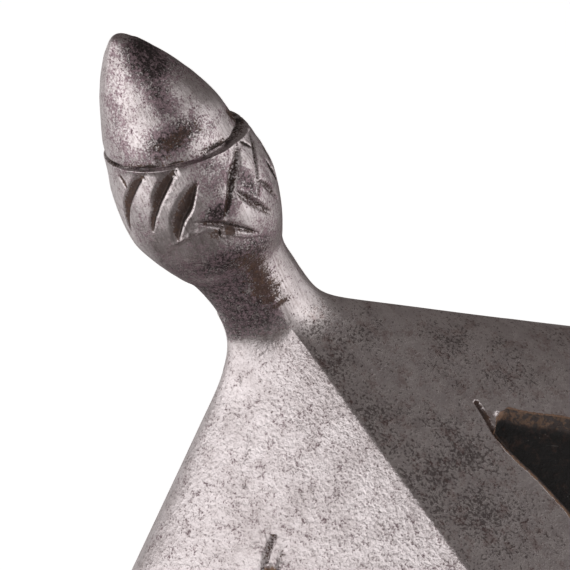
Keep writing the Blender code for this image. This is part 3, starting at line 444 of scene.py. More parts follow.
def skull_row(share):
    """One ring of the skull, finer on the wearer's right: points and how far each is sunk."""
    parts = []
    for half, side, columns, backwards in (
        ("front", 1, PLAIN_COLUMNS, False), ("rear", 1, PLAIN_COLUMNS, True),
        ("rear", -1, FINE_COLUMNS, False), ("front", -1, FINE_COLUMNS, True),
    ):
        turns, depths, rusty = quarter_columns(half, share, columns)
        points = section_point(half, np.full(turns.shape, share), turns * side)
        order = slice(-1, 0, -1) if backwards else slice(0, -1)
        parts.append((points[order], depths[order], rusty[order]))
    return [np.concatenate(values) for values in zip(*parts)]


def grid_normals(rows):
    """Outward normals of a grid of rings that run from the apex down."""
    above = np.concatenate((rows[:1], rows[:-1]))
    below = np.concatenate((rows[1:], rows[-1:]))
    return unit(np.cross(below - above, np.roll(rows, -1, 1) - np.roll(rows, 1, 1)))


# The finial's surface

def finial_place(points):
    """Height along the finial's axis, distance from it, and bearing from its front."""
    offset = points - APEX
    side = offset @ LEFT
    front = offset @ FINIAL_FRONT
    return offset @ FINIAL_AXIS, np.hypot(side, front), np.arctan2(side, front)


def seam_height(bearing):
    return SEAM_HEIGHT - SEAM_SKEW * np.cos(bearing - math.radians(SEAM_LOW_BEARING))


def seam_gape(bearing):
    """The seam gapes wider towards the front."""
    return 0.5 + 1.0 * smooth_step(math.radians(78.0), math.radians(22.0), np.abs(bearing))


def finial_radius(height, bearing):
    """Radius of the turned form at a height."""
    radius = np.where(
        height > seam_height(bearing), table_value(NUT_PROFILE, height), table_value(CUP_PROFILE, height),
    )
    flat = STEM_FLATNESS * (1.0 - smooth_step(*STEM_FLAT_SPAN, height))
    pinch = STEM_PINCH * smooth_step(*STEM_PINCH_SPAN, height) * (1.0 - np.cos(bearing)**4)
    return radius * (1.0 - flat * np.sin(bearing)**2) - pinch


def stem_union(radius, cone_radius, bearing):
    """Blend the stem into the skull, softly at the keels and crisply on the facets."""
    at_keel = mix(REAR_FILLET, FRONT_FILLET, (1.0 + np.cos(bearing)) / 2.0)
    at_facet = mix(*FACET_FILLETS.values(), smooth_step(-0.12, 0.35, np.cos(bearing)))
    fillet = mix(at_facet, at_keel, np.cos(bearing)**4)
    return radius + fillet * np.logaddexp(0.0, (cone_radius - radius) / fillet)


def finial_point(height, radius, bearing):
    height, radius, bearing = np.broadcast_arrays(height, radius, bearing)
    bend = STEM_BEND * smooth_step(*STEM_BEND_SPAN, height)
    around = np.sin(bearing)[..., None] * LEFT + np.cos(bearing)[..., None] * FINIAL_FRONT
    return APEX + height[..., None] * FINIAL_AXIS + radius[..., None] * around - bend[..., None] * FINIAL_FRONT


def finial_rows(first_ring, seam_depth):
    """Rings from the finial's tip down to a first ring of the skull, whose points lie on straight rays."""
    ring_height, ring_radius, bearing = finial_place(first_ring)
    slope = -ring_radius / ring_height
    seam = seam_height(bearing)
    tip = NUT_PROFILE[-1][0]

    def ring(height, sink=0.0):
        radius = finial_radius(height, bearing)
        cone_radius = np.maximum(-height, 0.0) * slope
        joined = np.where(height > 0.0, radius, stem_union(radius, cone_radius, bearing))
        return finial_point(height, joined - sink, bearing)

    rows = [ring(mix(tip, seam + SEAM_LIP, share**1.4)) for share in np.linspace(0.0, 1.0, 60)[1:-1]]
    around = np.stack((np.cos(bearing) * 6.0, np.sin(bearing) * 6.0, np.zeros_like(bearing)), -1)
    worn = 1.0 + lattice_noise(around, 1.7, 11) * 0.45 + lattice_noise(around, 0.8, 12) * 0.25
    for rise, share in SEAM_SHAPE:
        ragged = lattice_noise(around, 1.3, 13 + int(rise > 0)) * 0.1
        gape = seam_gape(bearing)
        rows.append(ring(seam + rise * gape + ragged * np.minimum(gape, 1.0), seam_depth * share * worn * gape**0.5))
    rows += [ring(mix(seam - SEAM_LIP, 0.0, share)) for share in np.linspace(0.0, 1.0, 86)[1:]]
    crease = -finial_radius(np.full(bearing.shape, -4.0), bearing) / slope
    rows += [ring(crease * share) for share in np.linspace(0.0, 1.0, 20)[1:]]
    for share in (0.015, 0.035, 0.06, 0.09, 0.13, 0.18, 0.24, 0.31, 0.39, 0.48, 0.57, 0.66, 0.75, 0.84, 0.92):
        rows.append(ring(mix(crease, ring_height, share)))
    rows.append(ring(ring_height))
    return rows


# Cutting

def smooth_line(places, steps):
    """A smooth line through a few places of any dimension."""
    places = np.array(places, float)
    if len(places) == 2:
        return mix(places[0], places[1], np.linspace(0, 1, steps)[:, None])
    padded = np.vstack((2 * places[0] - places[1], places, 2 * places[-1] - places[-2]))
    t = np.linspace(0, len(places) - 1, steps)
    index = np.minimum(t.astype(int), len(places) - 2)
    u = (t - index)[:, None]
    a, b, c, d = (padded[index + k] for k in range(4))
    return 0.5 * (2 * b + (c - a) * u + (2 * a - 5 * b + 4 * c - d) * u**2 + (3 * b - a - 3 * c + d) * u**3)


class Stroke:
    """One cut of a chisel or graver along a line on the surface."""

    def __init__(self, line, outward, widths, depth, lip=0.0, dirty=1.0, blunt=False):
        self.line = line
        self.outward = outward
        self.widths = widths
        self.depth = depth
        self.lip = lip
        self.dirty = dirty
        self.blunt = blunt
        self.broad = False
        self.on_facet = False
        self.reach = max(widths) + 0.5

    def nearby(self, points, room=0.0):
        low = self.line.min(0) - self.reach - room
        high = self.line.max(0) + self.reach + room
        return np.flatnonzero(((points > low) & (points < high)).all(1))

    def places(self, points):
        """Distance from the line, signed distance across it, and share of the way along it."""
        start = self.line[:-1]
        span = self.line[1:] - start
        gap = points[:, None] - start
        t = np.clip((gap * span).sum(-1) / (span * span).sum(-1), 0.0, 1.0)
        gap = gap - span * t[..., None]
        distance = np.linalg.norm(gap, axis=-1)
        best = distance.argmin(1)
        row = np.arange(len(points))
        across = unit(np.cross(self.outward[:-1], span))[best]
        share = (best + t[row, best]) / len(start)
        return distance[row, best], (gap[row, best] * across).sum(-1), share

    def cut(self, points):
        """How deep the stroke goes at each point, how much its burr rises, its rust, and its painted shade: its floor
        and the wall on its second width's side darkened towards black.
        """
        distance, across, share = self.places(points)
        if self.blunt:
            taper = smooth_step(0.0, 0.05, share) * (1.0 - 0.5 * smooth_step(0.6, 1.0, share))
        else:
            taper = np.sin(np.pi * np.clip(share, 0.0, 1.0))**0.6
        width = np.where(across < 0.0, self.widths[0], self.widths[1]) * np.maximum(taper, 0.05)
        profile = np.clip(1.0 - distance / width, 0.0, 1.0)
        sink = self.depth * taper * smooth_step(0.0, 1.15, profile)
        burr_side = np.where(across * np.sign(self.lip) > 0, 1.0, 0.0)
        burr = abs(self.lip) * taper * np.exp(-((distance - width * BURR_PLACE) / BURR_SPREAD)**2) * burr_side
        dirt = self.dirty * smooth_step(0.08, 0.6, profile * np.minimum(taper * 1.6, 1.0))
        # Painted shade: the floor and the wall on the second width's side are darkened as if in shadow, less on the
        # facets
        groove_shade = dirt * smooth_step(-0.35, 0.25, across / width) * (FACET_GROOVE_SHADE if self.on_facet else 1.0)
        return sink, burr, dirt, groove_shade


def finial_stroke(line, rear, front, depth, lip=0.0, dirty=1.0):
    bearing, height = smooth_line(line, 24).T
    bearing = np.radians(bearing)
    outward = np.sin(bearing)[:, None] * LEFT + np.cos(bearing)[:, None] * FINIAL_FRONT
    points = finial_point(height, finial_radius(height, bearing), bearing)
    return Stroke(points, outward, (rear * CUT_SPREAD, front * CUT_SPREAD), depth, lip * CUT_BURR, dirty)


def facet_stroke(half, line, rear, front, depth, lip=0.0, dirty=1.0, side=-1):
    distance, turn = smooth_line(line, 20).T
    points, outward = shell_point(half, ridge_share(distance), turn * side)
    stroke = Stroke(points, outward, (rear, front), depth, lip, dirty, blunt=max(rear, front) > 0.5)
    stroke.on_facet = True
    return stroke


def all_strokes():
    """Every cut of the skull, with the broad flats after the cup's other cuts."""
    strokes = [finial_stroke(*row) for row in CUP_CUTS] + [finial_stroke(*row, NUT_DIRT) for row in NUT_CUTS]
    strokes += [finial_stroke(line, width, width, 0.0, height, 0.0) for line, width, height in CUP_RIDGES]
    strokes += [finial_stroke(*row, dirty=0.0) for row in CUP_FLATS]
    for stroke in strokes[-len(CUP_FLATS):]:
        stroke.broad = True
    plain = PLAIN_CUTS
    for bearing in plain["bearings"]:
        middle = (bearing + plain["sweep"] * 0.6, (plain["top"] + plain["bottom"]) / 2)
        line = ((bearing, plain["top"]), middle, (bearing + plain["sweep"], plain["bottom"]))
        strokes.append(finial_stroke(line, *plain["widths"], plain["depth"], 0.1))
    strokes += [facet_stroke(*row) for row in FACET_MARKS]
    for half, band in BANDS.items():
        line = []
        for distance in np.linspace(band["tip"] - PLAIN_TIP_CUT["before"], band["tip"] + PLAIN_TIP_CUT["past"], 4):
            turns, _, _ = quarter_columns(half, ridge_share(distance), PLAIN_COLUMNS)
            line.append((distance, turns[len(turns) // 2]))
        strokes.append(facet_stroke(half, line, *PLAIN_TIP_CUT["widths"], PLAIN_TIP_CUT["depth"], side=1))
    return strokes


# Mesh building

def grid_faces(rows, columns):
    """Quads between rings, as an array of vertex numbers."""
    upper = np.arange((rows - 1) * columns).reshape(rows - 1, columns)
    right = np.roll(upper, -1, 1)
    return np.stack((upper, upper + columns, right + columns, right), -1).reshape(-1, 4)


def linked(name, data):
    """A new object in the scene."""
    item = bpy.data.objects.new(name, data)
    bpy.context.scene.collection.objects.link(item)
    return item


def new_piece(name, mesh, slot, body, nodes):
    """Place a finished mesh in the scene, riding on a body in place of its solids."""
    mesh.materials.clear()
    mesh.materials.append(material(slot))
    piece = linked(name, mesh)
    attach(piece, body)
    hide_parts(*nodes)


def mesh_of(name, vertices, faces, sharp_angle=None):
    """A closed, smooth-shaded mesh with outward faces, from points in mm."""
    mesh = bpy.data.meshes.new(name)
    mesh.from_pydata([tuple(v) for v in np.asarray(vertices) * MM], [], [tuple(map(int, f)) for f in faces])
    work = bmesh.new()
    work.from_mesh(mesh)
    bmesh.ops.recalc_face_normals(work, faces=work.faces)
    work.to_mesh(mesh)
    work.free()
    mesh.shade_smooth()
    if sharp_angle is not None:
        mesh.set_sharp_from_angle(angle=math.radians(sharp_angle))
    return mesh


def applied(item):
    """The plain mesh that an object's modifiers give; the object is removed."""
    bpy.context.view_layer.update()
    mesh = bpy.data.meshes.new_from_object(item.evaluated_get(bpy.context.evaluated_depsgraph_get()))
    bpy.data.objects.remove(item)
    return mesh


def ease_edges(item, width, angle):
    """Round the edges that are sharper than an angle in degrees, by a width in mm."""
    bevel = item.modifiers.new("eased edges", "BEVEL")
    bevel.width = width * MM
    bevel.segments = 2
    bevel.limit_method = "ANGLE"
    bevel.angle_limit = math.radians(angle)


def pole_faces(count, last):
    """Triangles that close a stack of rings at its two poles, the first and the last vertex."""
    faces = []
    for i in range(count):
        j = (i + 1) % count
        faces += [(0, 1 + i, 1 + j), (last, last - count + j, last - count + i)]
    return faces


def loft(sections):
    """Vertices and faces of a stack of equal outlines, capped at both ends."""
    count = len(sections[0])
    vertices = np.concatenate(sections)
    faces = [tuple(f) for f in grid_faces(len(sections), count)]
    faces.append(tuple(range(count)))
    faces.append(tuple(range(len(vertices) - 1, len(vertices) - count - 1, -1)))
    return vertices, faces


def add_attribute(mesh, name, values):
    attribute = mesh.attributes.new(name, "FLOAT", "POINT")
    attribute.data.foreach_set("value", np.asarray(values, np.float32))


def read_points(mesh, what="co"):
    flat = np.empty(len(mesh.vertices) * 3, np.float32)
    mesh.vertices.foreach_get(what, flat)
    return flat.reshape(-1, 3).astype(float)


# The skull

def skull_grid(sizes):
    """Base points of the skull from its tip, over the rim and up inside, with how far each is sunk."""
    wall = sizes.wall / MM
    crest = [(d, *skull_row(ridge_share(d))) for d in np.concatenate((
        np.arange(10.0, 26.0, 0.5), np.arange(26.0, 44.0, 0.45), np.arange(44.0, 60.0, 1.2),
    ))]
    shares = np.concatenate((np.linspace(0.305, 0.84, 26), (
        FIELD_END - 0.01, FIELD_END, FIELD_END + FIELD_END_WALL * 0.5, FIELD_END + FIELD_END_WALL,
        FIELD_END + FIELD_END_WALL + 0.01, 0.90, 0.93, 0.96, 0.985, 0.996, 1.0,
    )))
    lower = [(share, *skull_row(share)) for share in shares]
    _, rows, sunk, rusty = (np.array(values) for values in zip(*crest, *lower))
    normals = grid_normals(rows)
    plain_first = rows[0].copy()
    for index, (distance, row, _, _) in enumerate(crest):
        height, cone_radius, bearing = finial_place(row)
        near = 1.0 - smooth_step(9.0, 16.0, distance)
        swollen = stem_union(finial_radius(height, bearing), cone_radius, bearing)
        rows[index] = mix(row, finial_point(height, swollen, bearing), near)
    outer = rows - normals * (sunk * sizes.field_depth / MM)[..., None]

    inside = [i for i in range(len(rows)) if i >= 24 and (i % 8 == 0 or i > len(rows) - 8)]
    inner = outer[inside] - normals[inside] * wall
    top = finial_rows(plain_first, sizes.seam_depth / MM)
    tip = finial_point(np.array(NUT_PROFILE[-1][0]), np.array(0.0), np.array(0.0))
    crown = inner[0].mean(0) + FINIAL_AXIS * 3.0
    rings = np.concatenate((np.array(top), outer[1:], inner[::-1]))
    depths = np.concatenate((np.zeros((len(top), outer.shape[1])), rusty[1:], np.zeros(inner.shape[:2])))
    return tip, rings, crown, depths


def refine_near(work, strokes, room):
    """Split the faces near the cuts, so that each cut has crisp walls."""
    centres = np.array([f.calc_center_median() for f in work.faces]) / MM
    chosen = set()
    for stroke in strokes:
        near = stroke.nearby(centres, room)
        if not len(near):
            continue
        distance, _, _ = stroke.places(centres[near])
        chosen.update(near[distance < max(stroke.widths) + room].tolist())
    work.faces.ensure_lookup_table()
    edges = {edge for index in chosen for edge in work.faces[index].edges}
    bmesh.ops.subdivide_edges(work, edges=list(edges), cuts=1, use_grid_fill=True)


def blots(points, table):
    """Strength at each point of the finial of the blots in one table: the stains with their painted shade, or the rust
    spots.
    """
    height, radius, bearing = finial_place(points)
    total = np.zeros(len(points))
    for at, level, half_width, half_height, strength in table:
        turn = (bearing - math.radians(at) + math.pi) % (2 * math.pi) - math.pi
        spread = (turn * np.maximum(radius, 1.0) / half_width)**2 + ((height - level) / half_height)**2
        total = np.maximum(total, strength * np.exp(-spread * 0.7)) + 0.25 * strength * np.exp(-spread * 0.7)
    return total


def stain_and_shade_field(points):
    """Strength of the finial's stains and painted shade at each point, with the neck's dark skin ending crisply at its
    foot.
    """
    height, _, bearing = finial_place(points)
    total = blots(points, STAINS_AND_SHADE)
    turn = np.degrees(bearing)
    foot = height - np.interp(turn, *np.array(NECK_FOOT).T)
    # The neck under the cup on the wearer's right is darkened: dark skin, partly painted shade under the cup's swell
    neck = smooth_step(-88.0, -97.0, turn) * (height < 9.0)
    total = np.maximum(total, 0.85 * neck * (1.0 - smooth_step(5.0, 9.0, height)))
    return mix(total * smooth_step(-6.0, -3.0, height), total * smooth_step(-0.06, 0.06, foot), neck)


def pitted_field(points):
    """How crowded the facets' pits are at each point."""
    total = np.zeros(len(points))
    for half, distance, turn, down, across, strength in PITTED:
        centre, _ = shell_point(half, np.array([ridge_share(distance)]), np.array([-float(turn)]))
        spread = ((points - centre[0])**2).sum(1) / (down * across)
        total = np.maximum(total, strength * np.exp(-spread * 0.8))
    return total


def hammered(points):
    """Unevenness left by the hammer and file, in mm along the normal."""
    height, radius, bearing = finial_place(points)
    on_finial = smooth_step(-3.0, 2.0, height) * (radius < 12.0)
    around = np.stack((np.cos(bearing) * 5.0, np.sin(bearing) * 5.0, height * 0.16), -1)
    flutes = lattice_noise(around, 1.6, 3) * 0.07 + lattice_noise(around, 0.7, 4) * 0.025
    dents = lattice_noise(points, 3.1, 5) * 0.07 + lattice_noise(points, 1.3, 6) * 0.03
    broad = lattice_noise(points, 14.0, 7) * 0.12 + lattice_noise(points, 5.0, 8) * 0.035
    return (flutes + dents) * on_finial + broad * (1.0 - on_finial) * smooth_step(12.0, 40.0, radius)


def build_skull_mesh(sizes):
    """The skull and finial in one closed mesh, with what its material reads from each point."""
    tip, rings, crown, depths = skull_grid(sizes)
    count = rings.shape[1]
    vertices = np.concatenate(([tip], rings.reshape(-1, 3), [crown]))
    faces = (grid_faces(len(rings), count) + 1).tolist() + pole_faces(count, len(vertices) - 1)
    mesh = bpy.data.meshes.new("skull_and_finial")
    mesh.from_pydata([tuple(v) for v in vertices * MM], [], faces)
    add_attribute(mesh, "field", np.concatenate(([0.0], depths.reshape(-1), [0.0])))

    work = bmesh.new()
    work.from_mesh(mesh)
    bmesh.ops.recalc_face_normals(work, faces=work.faces)
    strokes = all_strokes()
    refine_near(work, [stroke for stroke in strokes if stroke.on_facet], FACET_CUT_ROOM)
    refine_near(work, [stroke for stroke in strokes if not stroke.broad], CUT_ROOM)
    work.to_mesh(mesh)
    work.free()

    points = read_points(mesh) / MM
    normals = read_points(mesh, "normal")
    # black gathers painted shade: the cuts' shadowed walls, and below, the seam's deepest middle
    sink, burr, dirt, broad, black = np.zeros((5, len(points)))
    for stroke in strokes:
        near = stroke.nearby(points)
        near = near[(normals[near] * stroke.outward.mean(0)).sum(1) > 0.1]
        if not len(near):
            continue
        deep, raised, dirty, groove_shade = stroke.cut(points[near])
        if stroke.broad:
            broad[near] += deep
        else:
            sink[near] = np.maximum(sink[near], deep)
            burr[near] = np.maximum(burr[near], raised)
        dirt[near] = np.maximum(dirt[near], dirty)
        black[near] = np.maximum(black[near], groove_shade)
    burr *= np.clip(0.4 + 1.0 * lattice_noise(points, 0.7, 21) + 0.7 * lattice_noise(points, 0.3, 23), 0.0, 1.4)
    moved = hammered(points) + burr * (sink < 0.02) - sink - broad
    height, radius, bearing = finial_place(points)
    from_seam = np.abs(height - seam_height(bearing)) / seam_gape(bearing)
    in_seam = 1.0 - smooth_step(0.14, 0.42, from_seam)
    in_seam *= (radius < 9.0) * (height > 15.0) * (0.72 + 0.4 * lattice_noise(points, 1.1, 22))
    # Painted shade in the seam: its deepest middle is darkened towards black, over its rust
    black = np.maximum(black, in_seam * smooth_step(0.3, 0.08, from_seam))
    dirt = np.maximum(np.maximum(dirt, in_seam), blots(points, RUST_SPOTS))
    mesh.vertices.foreach_set("co", ((points + normals * moved[:, None]) * MM).astype(np.float32).ravel())
    mesh.update()
    mesh.shade_smooth()
    side = math.radians(RIDGES["side"]["bearing"])
    past_ridge = np.abs(points[:, 0]) * math.cos(side) + (points[:, 1] - APEX[1]) * math.sin(side)
    for name, values in (
        ("dirt", dirt), ("black", black), ("stain", stain_and_shade_field(points)), ("pitted", pitted_field(points)),
        ("bare", smooth_step(-0.4, 0.4, past_ridge) * smooth_step(-3.0, -5.0, height)),
        ("finial", smooth_step(-6.0, 0.0, height) * (radius < 11.0)),
    ):
        add_attribute(mesh, name, values)
    return mesh


# Plates

def collar_lines(half, turn, plate):
    """The inner and outer lines of a plate's collar, down the skull at one turn."""
    shares = mix(COLLAR_TOP, 1.0, np.linspace(0.0, 1.0, 5))
    turns = np.full(shares.shape, float(turn))
    return [shell_point(half, shares, turns, gap)[0] for gap in (COLLAR_GAP, COLLAR_GAP + plate)]


def peak_section(turn, plate):
    """Cross-section of the peak at one turn about the brow, and the centre of its turned edge."""
    inner, outer = collar_lines("front", turn, plate)
    normal = shell_point("front", 1.0, turn)[1]
    level = unit(normal * (1, 1, 0))
    out = unit(level * 0.6 + np.array((0, -0.4, 0)))
    swing = max(math.cos(math.radians(90.0 * turn / PEAK["half_turn"])), 0.0)
    reach = mix(PEAK["end_reach"], PEAK["reach"], swing**0.8)
    slope = math.tan(math.radians(PEAK["slope"]))

    def plate_point(share, rise):
        dip = slope * reach * share * (0.6 + 0.4 * share)
        return inner[-1] + out * (reach * share) + np.array((0, 0, rise - dip))

    steps = (0.06, 0.2, 0.4, 0.6, 0.8, 0.985)
    below = [plate_point(share, 0.0) for share in steps]
    above = [plate_point(share, plate) for share in steps[::-1]]
    corner = outer[-1] + np.array((0, 0, plate + 0.4))
    section = np.vstack((inner, below, above[:-1], corner + out * 0.5, corner, outer[-2::-1]))
    return section, plate_point(1.0, plate / 2.0)


def neck_section(turn, plate):
    """Cross-section of the neck guard at one turn about the nape, and the centre of its turned edge."""
    inner, outer = collar_lines("rear", turn, plate)
    out = unit(shell_point("rear", 1.0, turn)[1] * (1, 1, 0))
    lift = smooth_step(NECK_LEVEL_TURN, NECK["half_turn"] + 8.0, abs(turn))
    reach = mix(NECK["reach"], NECK["end_reach"], smooth_step(10.0, NECK["half_turn"], abs(turn)))
    land = NECK["bead"] * math.sin(math.radians(67.5))
    start = (inner[-1] + outer[-1]) / 2.0
    end = start * (1, 1, 0) + out * reach + np.array((0, 0, land + NECK["edge_rise"] * lift))
    knee = np.array((start[0], start[1], mix(start[2], end[2], NECK_BELLY)))
    below = []
    above = []
    for t in (0.1, 0.22, 0.35, 0.5, 0.65, 0.8, 0.985):
        point = start * (1 - t)**2 + knee * (2 * t * (1 - t)) + end * t**2
        along = (knee - start) * (1 - t) + (end - knee) * t
        across = unit(np.array((out[0] * -along[2], out[1] * -along[2], along @ out)))
        below.append(point - across * plate / 2.0)
        above.append(point + across * plate / 2.0)
    return np.vstack((inner, below, above[::-1], outer[::-1])), end


def rim_at(y):
    """The skull's rim at the sides: its outer X and its Z, for a given Y."""
    _, side_y, side_z = RIDGES["side"]["rim"]
    keel = np.array(RIDGES["front" if y < side_y else "rear"]["rim"])
    cosine = (y - side_y) / (keel[1] - side_y)
    return RIDGES["side"]["rim"][0] * math.sqrt(1.0 - cosine**2), mix(side_z, keel[2], cosine**2)


def cheek_inset(height):
    """How far the cheekpiece has drawn in below the hinge."""
    fall = max(HINGE[2] - height, 0.0) / HINGE[2]
    return CHEEK["inset"] * fall**1.7


def tucked_point(y, share):
    """A point of the cheekpiece's tucked strip, inside the skull's wall."""
    side_y = RIDGES["side"]["rim"][1]
    half = "front" if y < side_y else "rear"
    cosine = (y - side_y) / (RIDGES[half]["rim"][1] - side_y)
    return shell_point(half, share, math.degrees(math.acos(cosine)), -SKULL_WALL - CHEEK_TUCK_GAP)[0]


def cheek_rows(columns=30, plate_rows=24):
    """Outer points of the left cheekpiece, in rows from the top down."""
    rows = []
    for row in range(5 + plate_rows):
        line = []
        for column in range(columns + 1):
            a = column / columns
            top_y = mix(CHEEK["front_top"], CHEEK["rear_top"], a)
            low_y = mix(CHEEK["front_low"], CHEEK["rear_low"], a)
            if row < 2:
                line.append(tucked_point(top_y, mix(CHEEK_TUCK_SHARE, 0.985, row)))
            elif row == 2:
                line.append(tucked_point(top_y, 1.0) - np.array((0, 0, CHEEK_TUCK_GAP)))
            else:
                b = max(row - 4, 0) / plate_rows
                y = mix(top_y, low_y, b**1.3)
                rim_x, rim_z = rim_at(y)
                past = max(abs(2.0 * a - 1.0) - 0.45, 0.0) / 0.55
                low_z = CHEEK["corner"] * past**2
                z = mix(rim_z - CHEEK_JOGGLE, low_z, b)
                x = rim_x - cheek_inset(z)
                if row == 3:
                    tuck = tucked_point(top_y, 1.0) - np.array((0, 0, CHEEK_TUCK_GAP))
                    line.append(mix(tuck, np.array((x, y, z)), 0.62) + np.array((0, 0, 0.5)))
                else:
                    line.append(np.array((x, y, z)))
        rows.append(line)
    return np.array(rows)


def thickened(rows, thickness):
    """Vertices and faces of an open grid thickened inwards into a closed plate."""
    padded = np.pad(rows, ((1, 1), (1, 1), (0, 0)), "edge")
    along = padded[1:-1, 2:] - padded[1:-1, :-2]
    down = padded[2:, 1:-1] - padded[:-2, 1:-1]
    normal = unit(np.cross(along, down))
    normal[-1] = unit(normal[-1] * (1, 1, 0))
    inner = rows - normal * np.sign(normal[..., :1]) * thickness
    height, width = rows.shape[:2]
    start = height * width
    index = np.arange(start).reshape(height, width)
    square = np.stack((index[:-1, :-1], index[:-1, 1:], index[1:, 1:], index[1:, :-1]), -1).reshape(-1, 4)
    border = np.concatenate((index[0], index[1:, -1], index[-1, -2::-1], index[-2:0:-1, 0]))
    after = np.roll(border, -1)
    rim = np.stack((border, start + border, start + after, after), -1)
    faces = np.concatenate((square, start + square[:, ::-1], rim))
    return np.concatenate((rows.reshape(-1, 3), inner.reshape(-1, 3))), faces


def mirrored(form, side):
    """Vertices and faces of the left piece, or of the right one where side is -1."""
    vertices, faces = form
    return vertices * (side, 1, 1), faces


def leaf_outline(upper):
    """Outline in X and Z of a hinge leaf, from its shoulder near the knuckle to its far end."""
    root = HINGE[0] - KNUCKLE
    if upper:
        low = HINGE[2] + LEAF_SHOULDER
        high = HINGE[2] + LEAF_REACH
        return [(root, low), (root + LEAF, low), (root + LEAF, high), (root, high)]
    levels = mix(HINGE[2] - LEAF_SHOULDER, HINGE[2] - LEAF_REACH, np.linspace(0.0, 1.0, 8))
    inner = [(root - cheek_inset(z), z) for z in levels]
    return inner + [(x + LEAF, z) for x, z in inner[::-1]]


def knuckle_outline(upper):
    sense = 1.0 if upper else -1.0
    x, _, z = HINGE
    outline = [(x - KNUCKLE, z + sense * (LEAF_SHOULDER + 0.5))]
    for step in range(28):
        angle = math.radians(180.0 + sense * 279.0 / 27 * step)
        outline.append((x + KNUCKLE * math.cos(angle), z + KNUCKLE * math.sin(angle)))
    outline.append((x - KNUCKLE + LEAF, z + sense * (KNUCKLE - 0.35)))
    outline.append((x - KNUCKLE + LEAF, z + sense * (LEAF_SHOULDER + 0.5)))
    return outline


def prism(outline, low, high):
    return loft([np.array([(x, HINGE[1] + y, z) for x, z in outline]) for y in (low, high)])


def hinge_leaf_mesh(upper, side):
    """One leaf with its knuckles, its far corners clipped and every edge eased."""
    half = HINGE_LENGTH / 2.0
    middle = MIDDLE_KNUCKLE / 2.0
    sense = 1.0 if upper else -1.0
    leaf = linked("leaf", mesh_of("leaf", *mirrored(prism(leaf_outline(upper), -half, half), side)))
    spans = [(-half, -middle - GAP), (middle + GAP, half)] if upper else [(-middle, middle)]
    tools = [(prism(knuckle_outline(upper), low, high), "UNION") for low, high in spans]
    far = HINGE[2] + sense * LEAF_REACH
    for end in (-1, 1):
        edge = HINGE[1] + end * half
        corner = (
            (edge - end * LEAF_CLIP, far), (edge + end * 2, far - sense * (LEAF_CLIP + 2)),
            (edge + end * 2, far + sense * 2), (edge - end * LEAF_CLIP, far + sense * 2),
        )
        sections = [np.array([(x, y, z) for y, z in corner]) for x in (HINGE[0] - 20, HINGE[0] + 10)]
        tools.append((loft(sections), "DIFFERENCE"))
    others = []
    for form, operation in tools:
        others.append(linked("tool", mesh_of("tool", *mirrored(form, side))))
        modifier = leaf.modifiers.new("tool", "BOOLEAN")
        modifier.operation = operation
        modifier.solver = "EXACT"
        modifier.object = others[-1]
    ease_edges(leaf, 0.22, 35)
    mesh = applied(leaf)
    for other in others:
        bpy.data.objects.remove(other)
    mesh.shade_smooth()
    mesh.set_sharp_from_angle(angle=math.radians(42))
    return mesh


def pin_mesh(side):
    """A hinge pin with domed heads."""
    end = -HINGE_LENGTH / 2.0 - GAP
    profile = [(end - out, radius) for out, radius in PIN_DOME] + [(end, PIN_HEAD), (end, PIN)]
    profile += [(-y, radius) for y, radius in reversed(profile)]
    angles = np.arange(PIN_SIDES) * 2 * math.pi / PIN_SIDES
    rings = [
        np.stack((np.cos(angles) * radius, np.full(PIN_SIDES, y), np.sin(angles) * radius), -1) + HINGE
        for y, radius in profile[1:-1]
    ]
    poles = [HINGE + (0.0, y, 0.0) for y in (profile[0][0], profile[-1][0])]
    vertices = np.concatenate((poles[:1], *rings, poles[1:]))
    faces = (grid_faces(len(rings), PIN_SIDES) + 1).tolist() + pole_faces(PIN_SIDES, len(vertices) - 1)
    return mesh_of("hinge_pin", *mirrored((vertices, faces), side), 40)


# Geometry Nodes

def node_group(name, inputs):
    """A new geometry tree with a Geometry input and output and the named value inputs."""
    tree = bpy.data.node_groups.new(name, "GeometryNodeTree")
    tree.interface.new_socket("Geometry", in_out="INPUT", socket_type="NodeSocketGeometry")
    tree.interface.new_socket("Geometry", in_out="OUTPUT", socket_type="NodeSocketGeometry")
    for label, kind, default in inputs:
        socket = tree.interface.new_socket(label, in_out="INPUT", socket_type=kind)
        if default is not None:
            socket.default_value = default
    return tree


def place_node(tree, kind, settings=None, sockets=None):
    """Add a node, set its settings, then give its sockets values or links."""
    node = tree.nodes.new(kind)
    for key, value in (settings or {}).items():
        setattr(node, key, value)
    for key, value in (sockets or {}).items():
        if isinstance(value, bpy.types.NodeSocket):
            tree.links.new(value, node.inputs[key])
        else:
            node.inputs[key].default_value = value
    return node


def run_tree(item, tree, values):
    """Give an object the tree with its inputs set, and return the plain mesh it makes."""
    modifier = item.modifiers.new(tree.name, "NODES")
    modifier.node_group = tree
    for entry in tree.interface.items_tree:
        if entry.item_type == "SOCKET" and entry.in_out == "INPUT" and entry.name in values:
            modifier[entry.identifier] = values[entry.name]
    return applied(item)


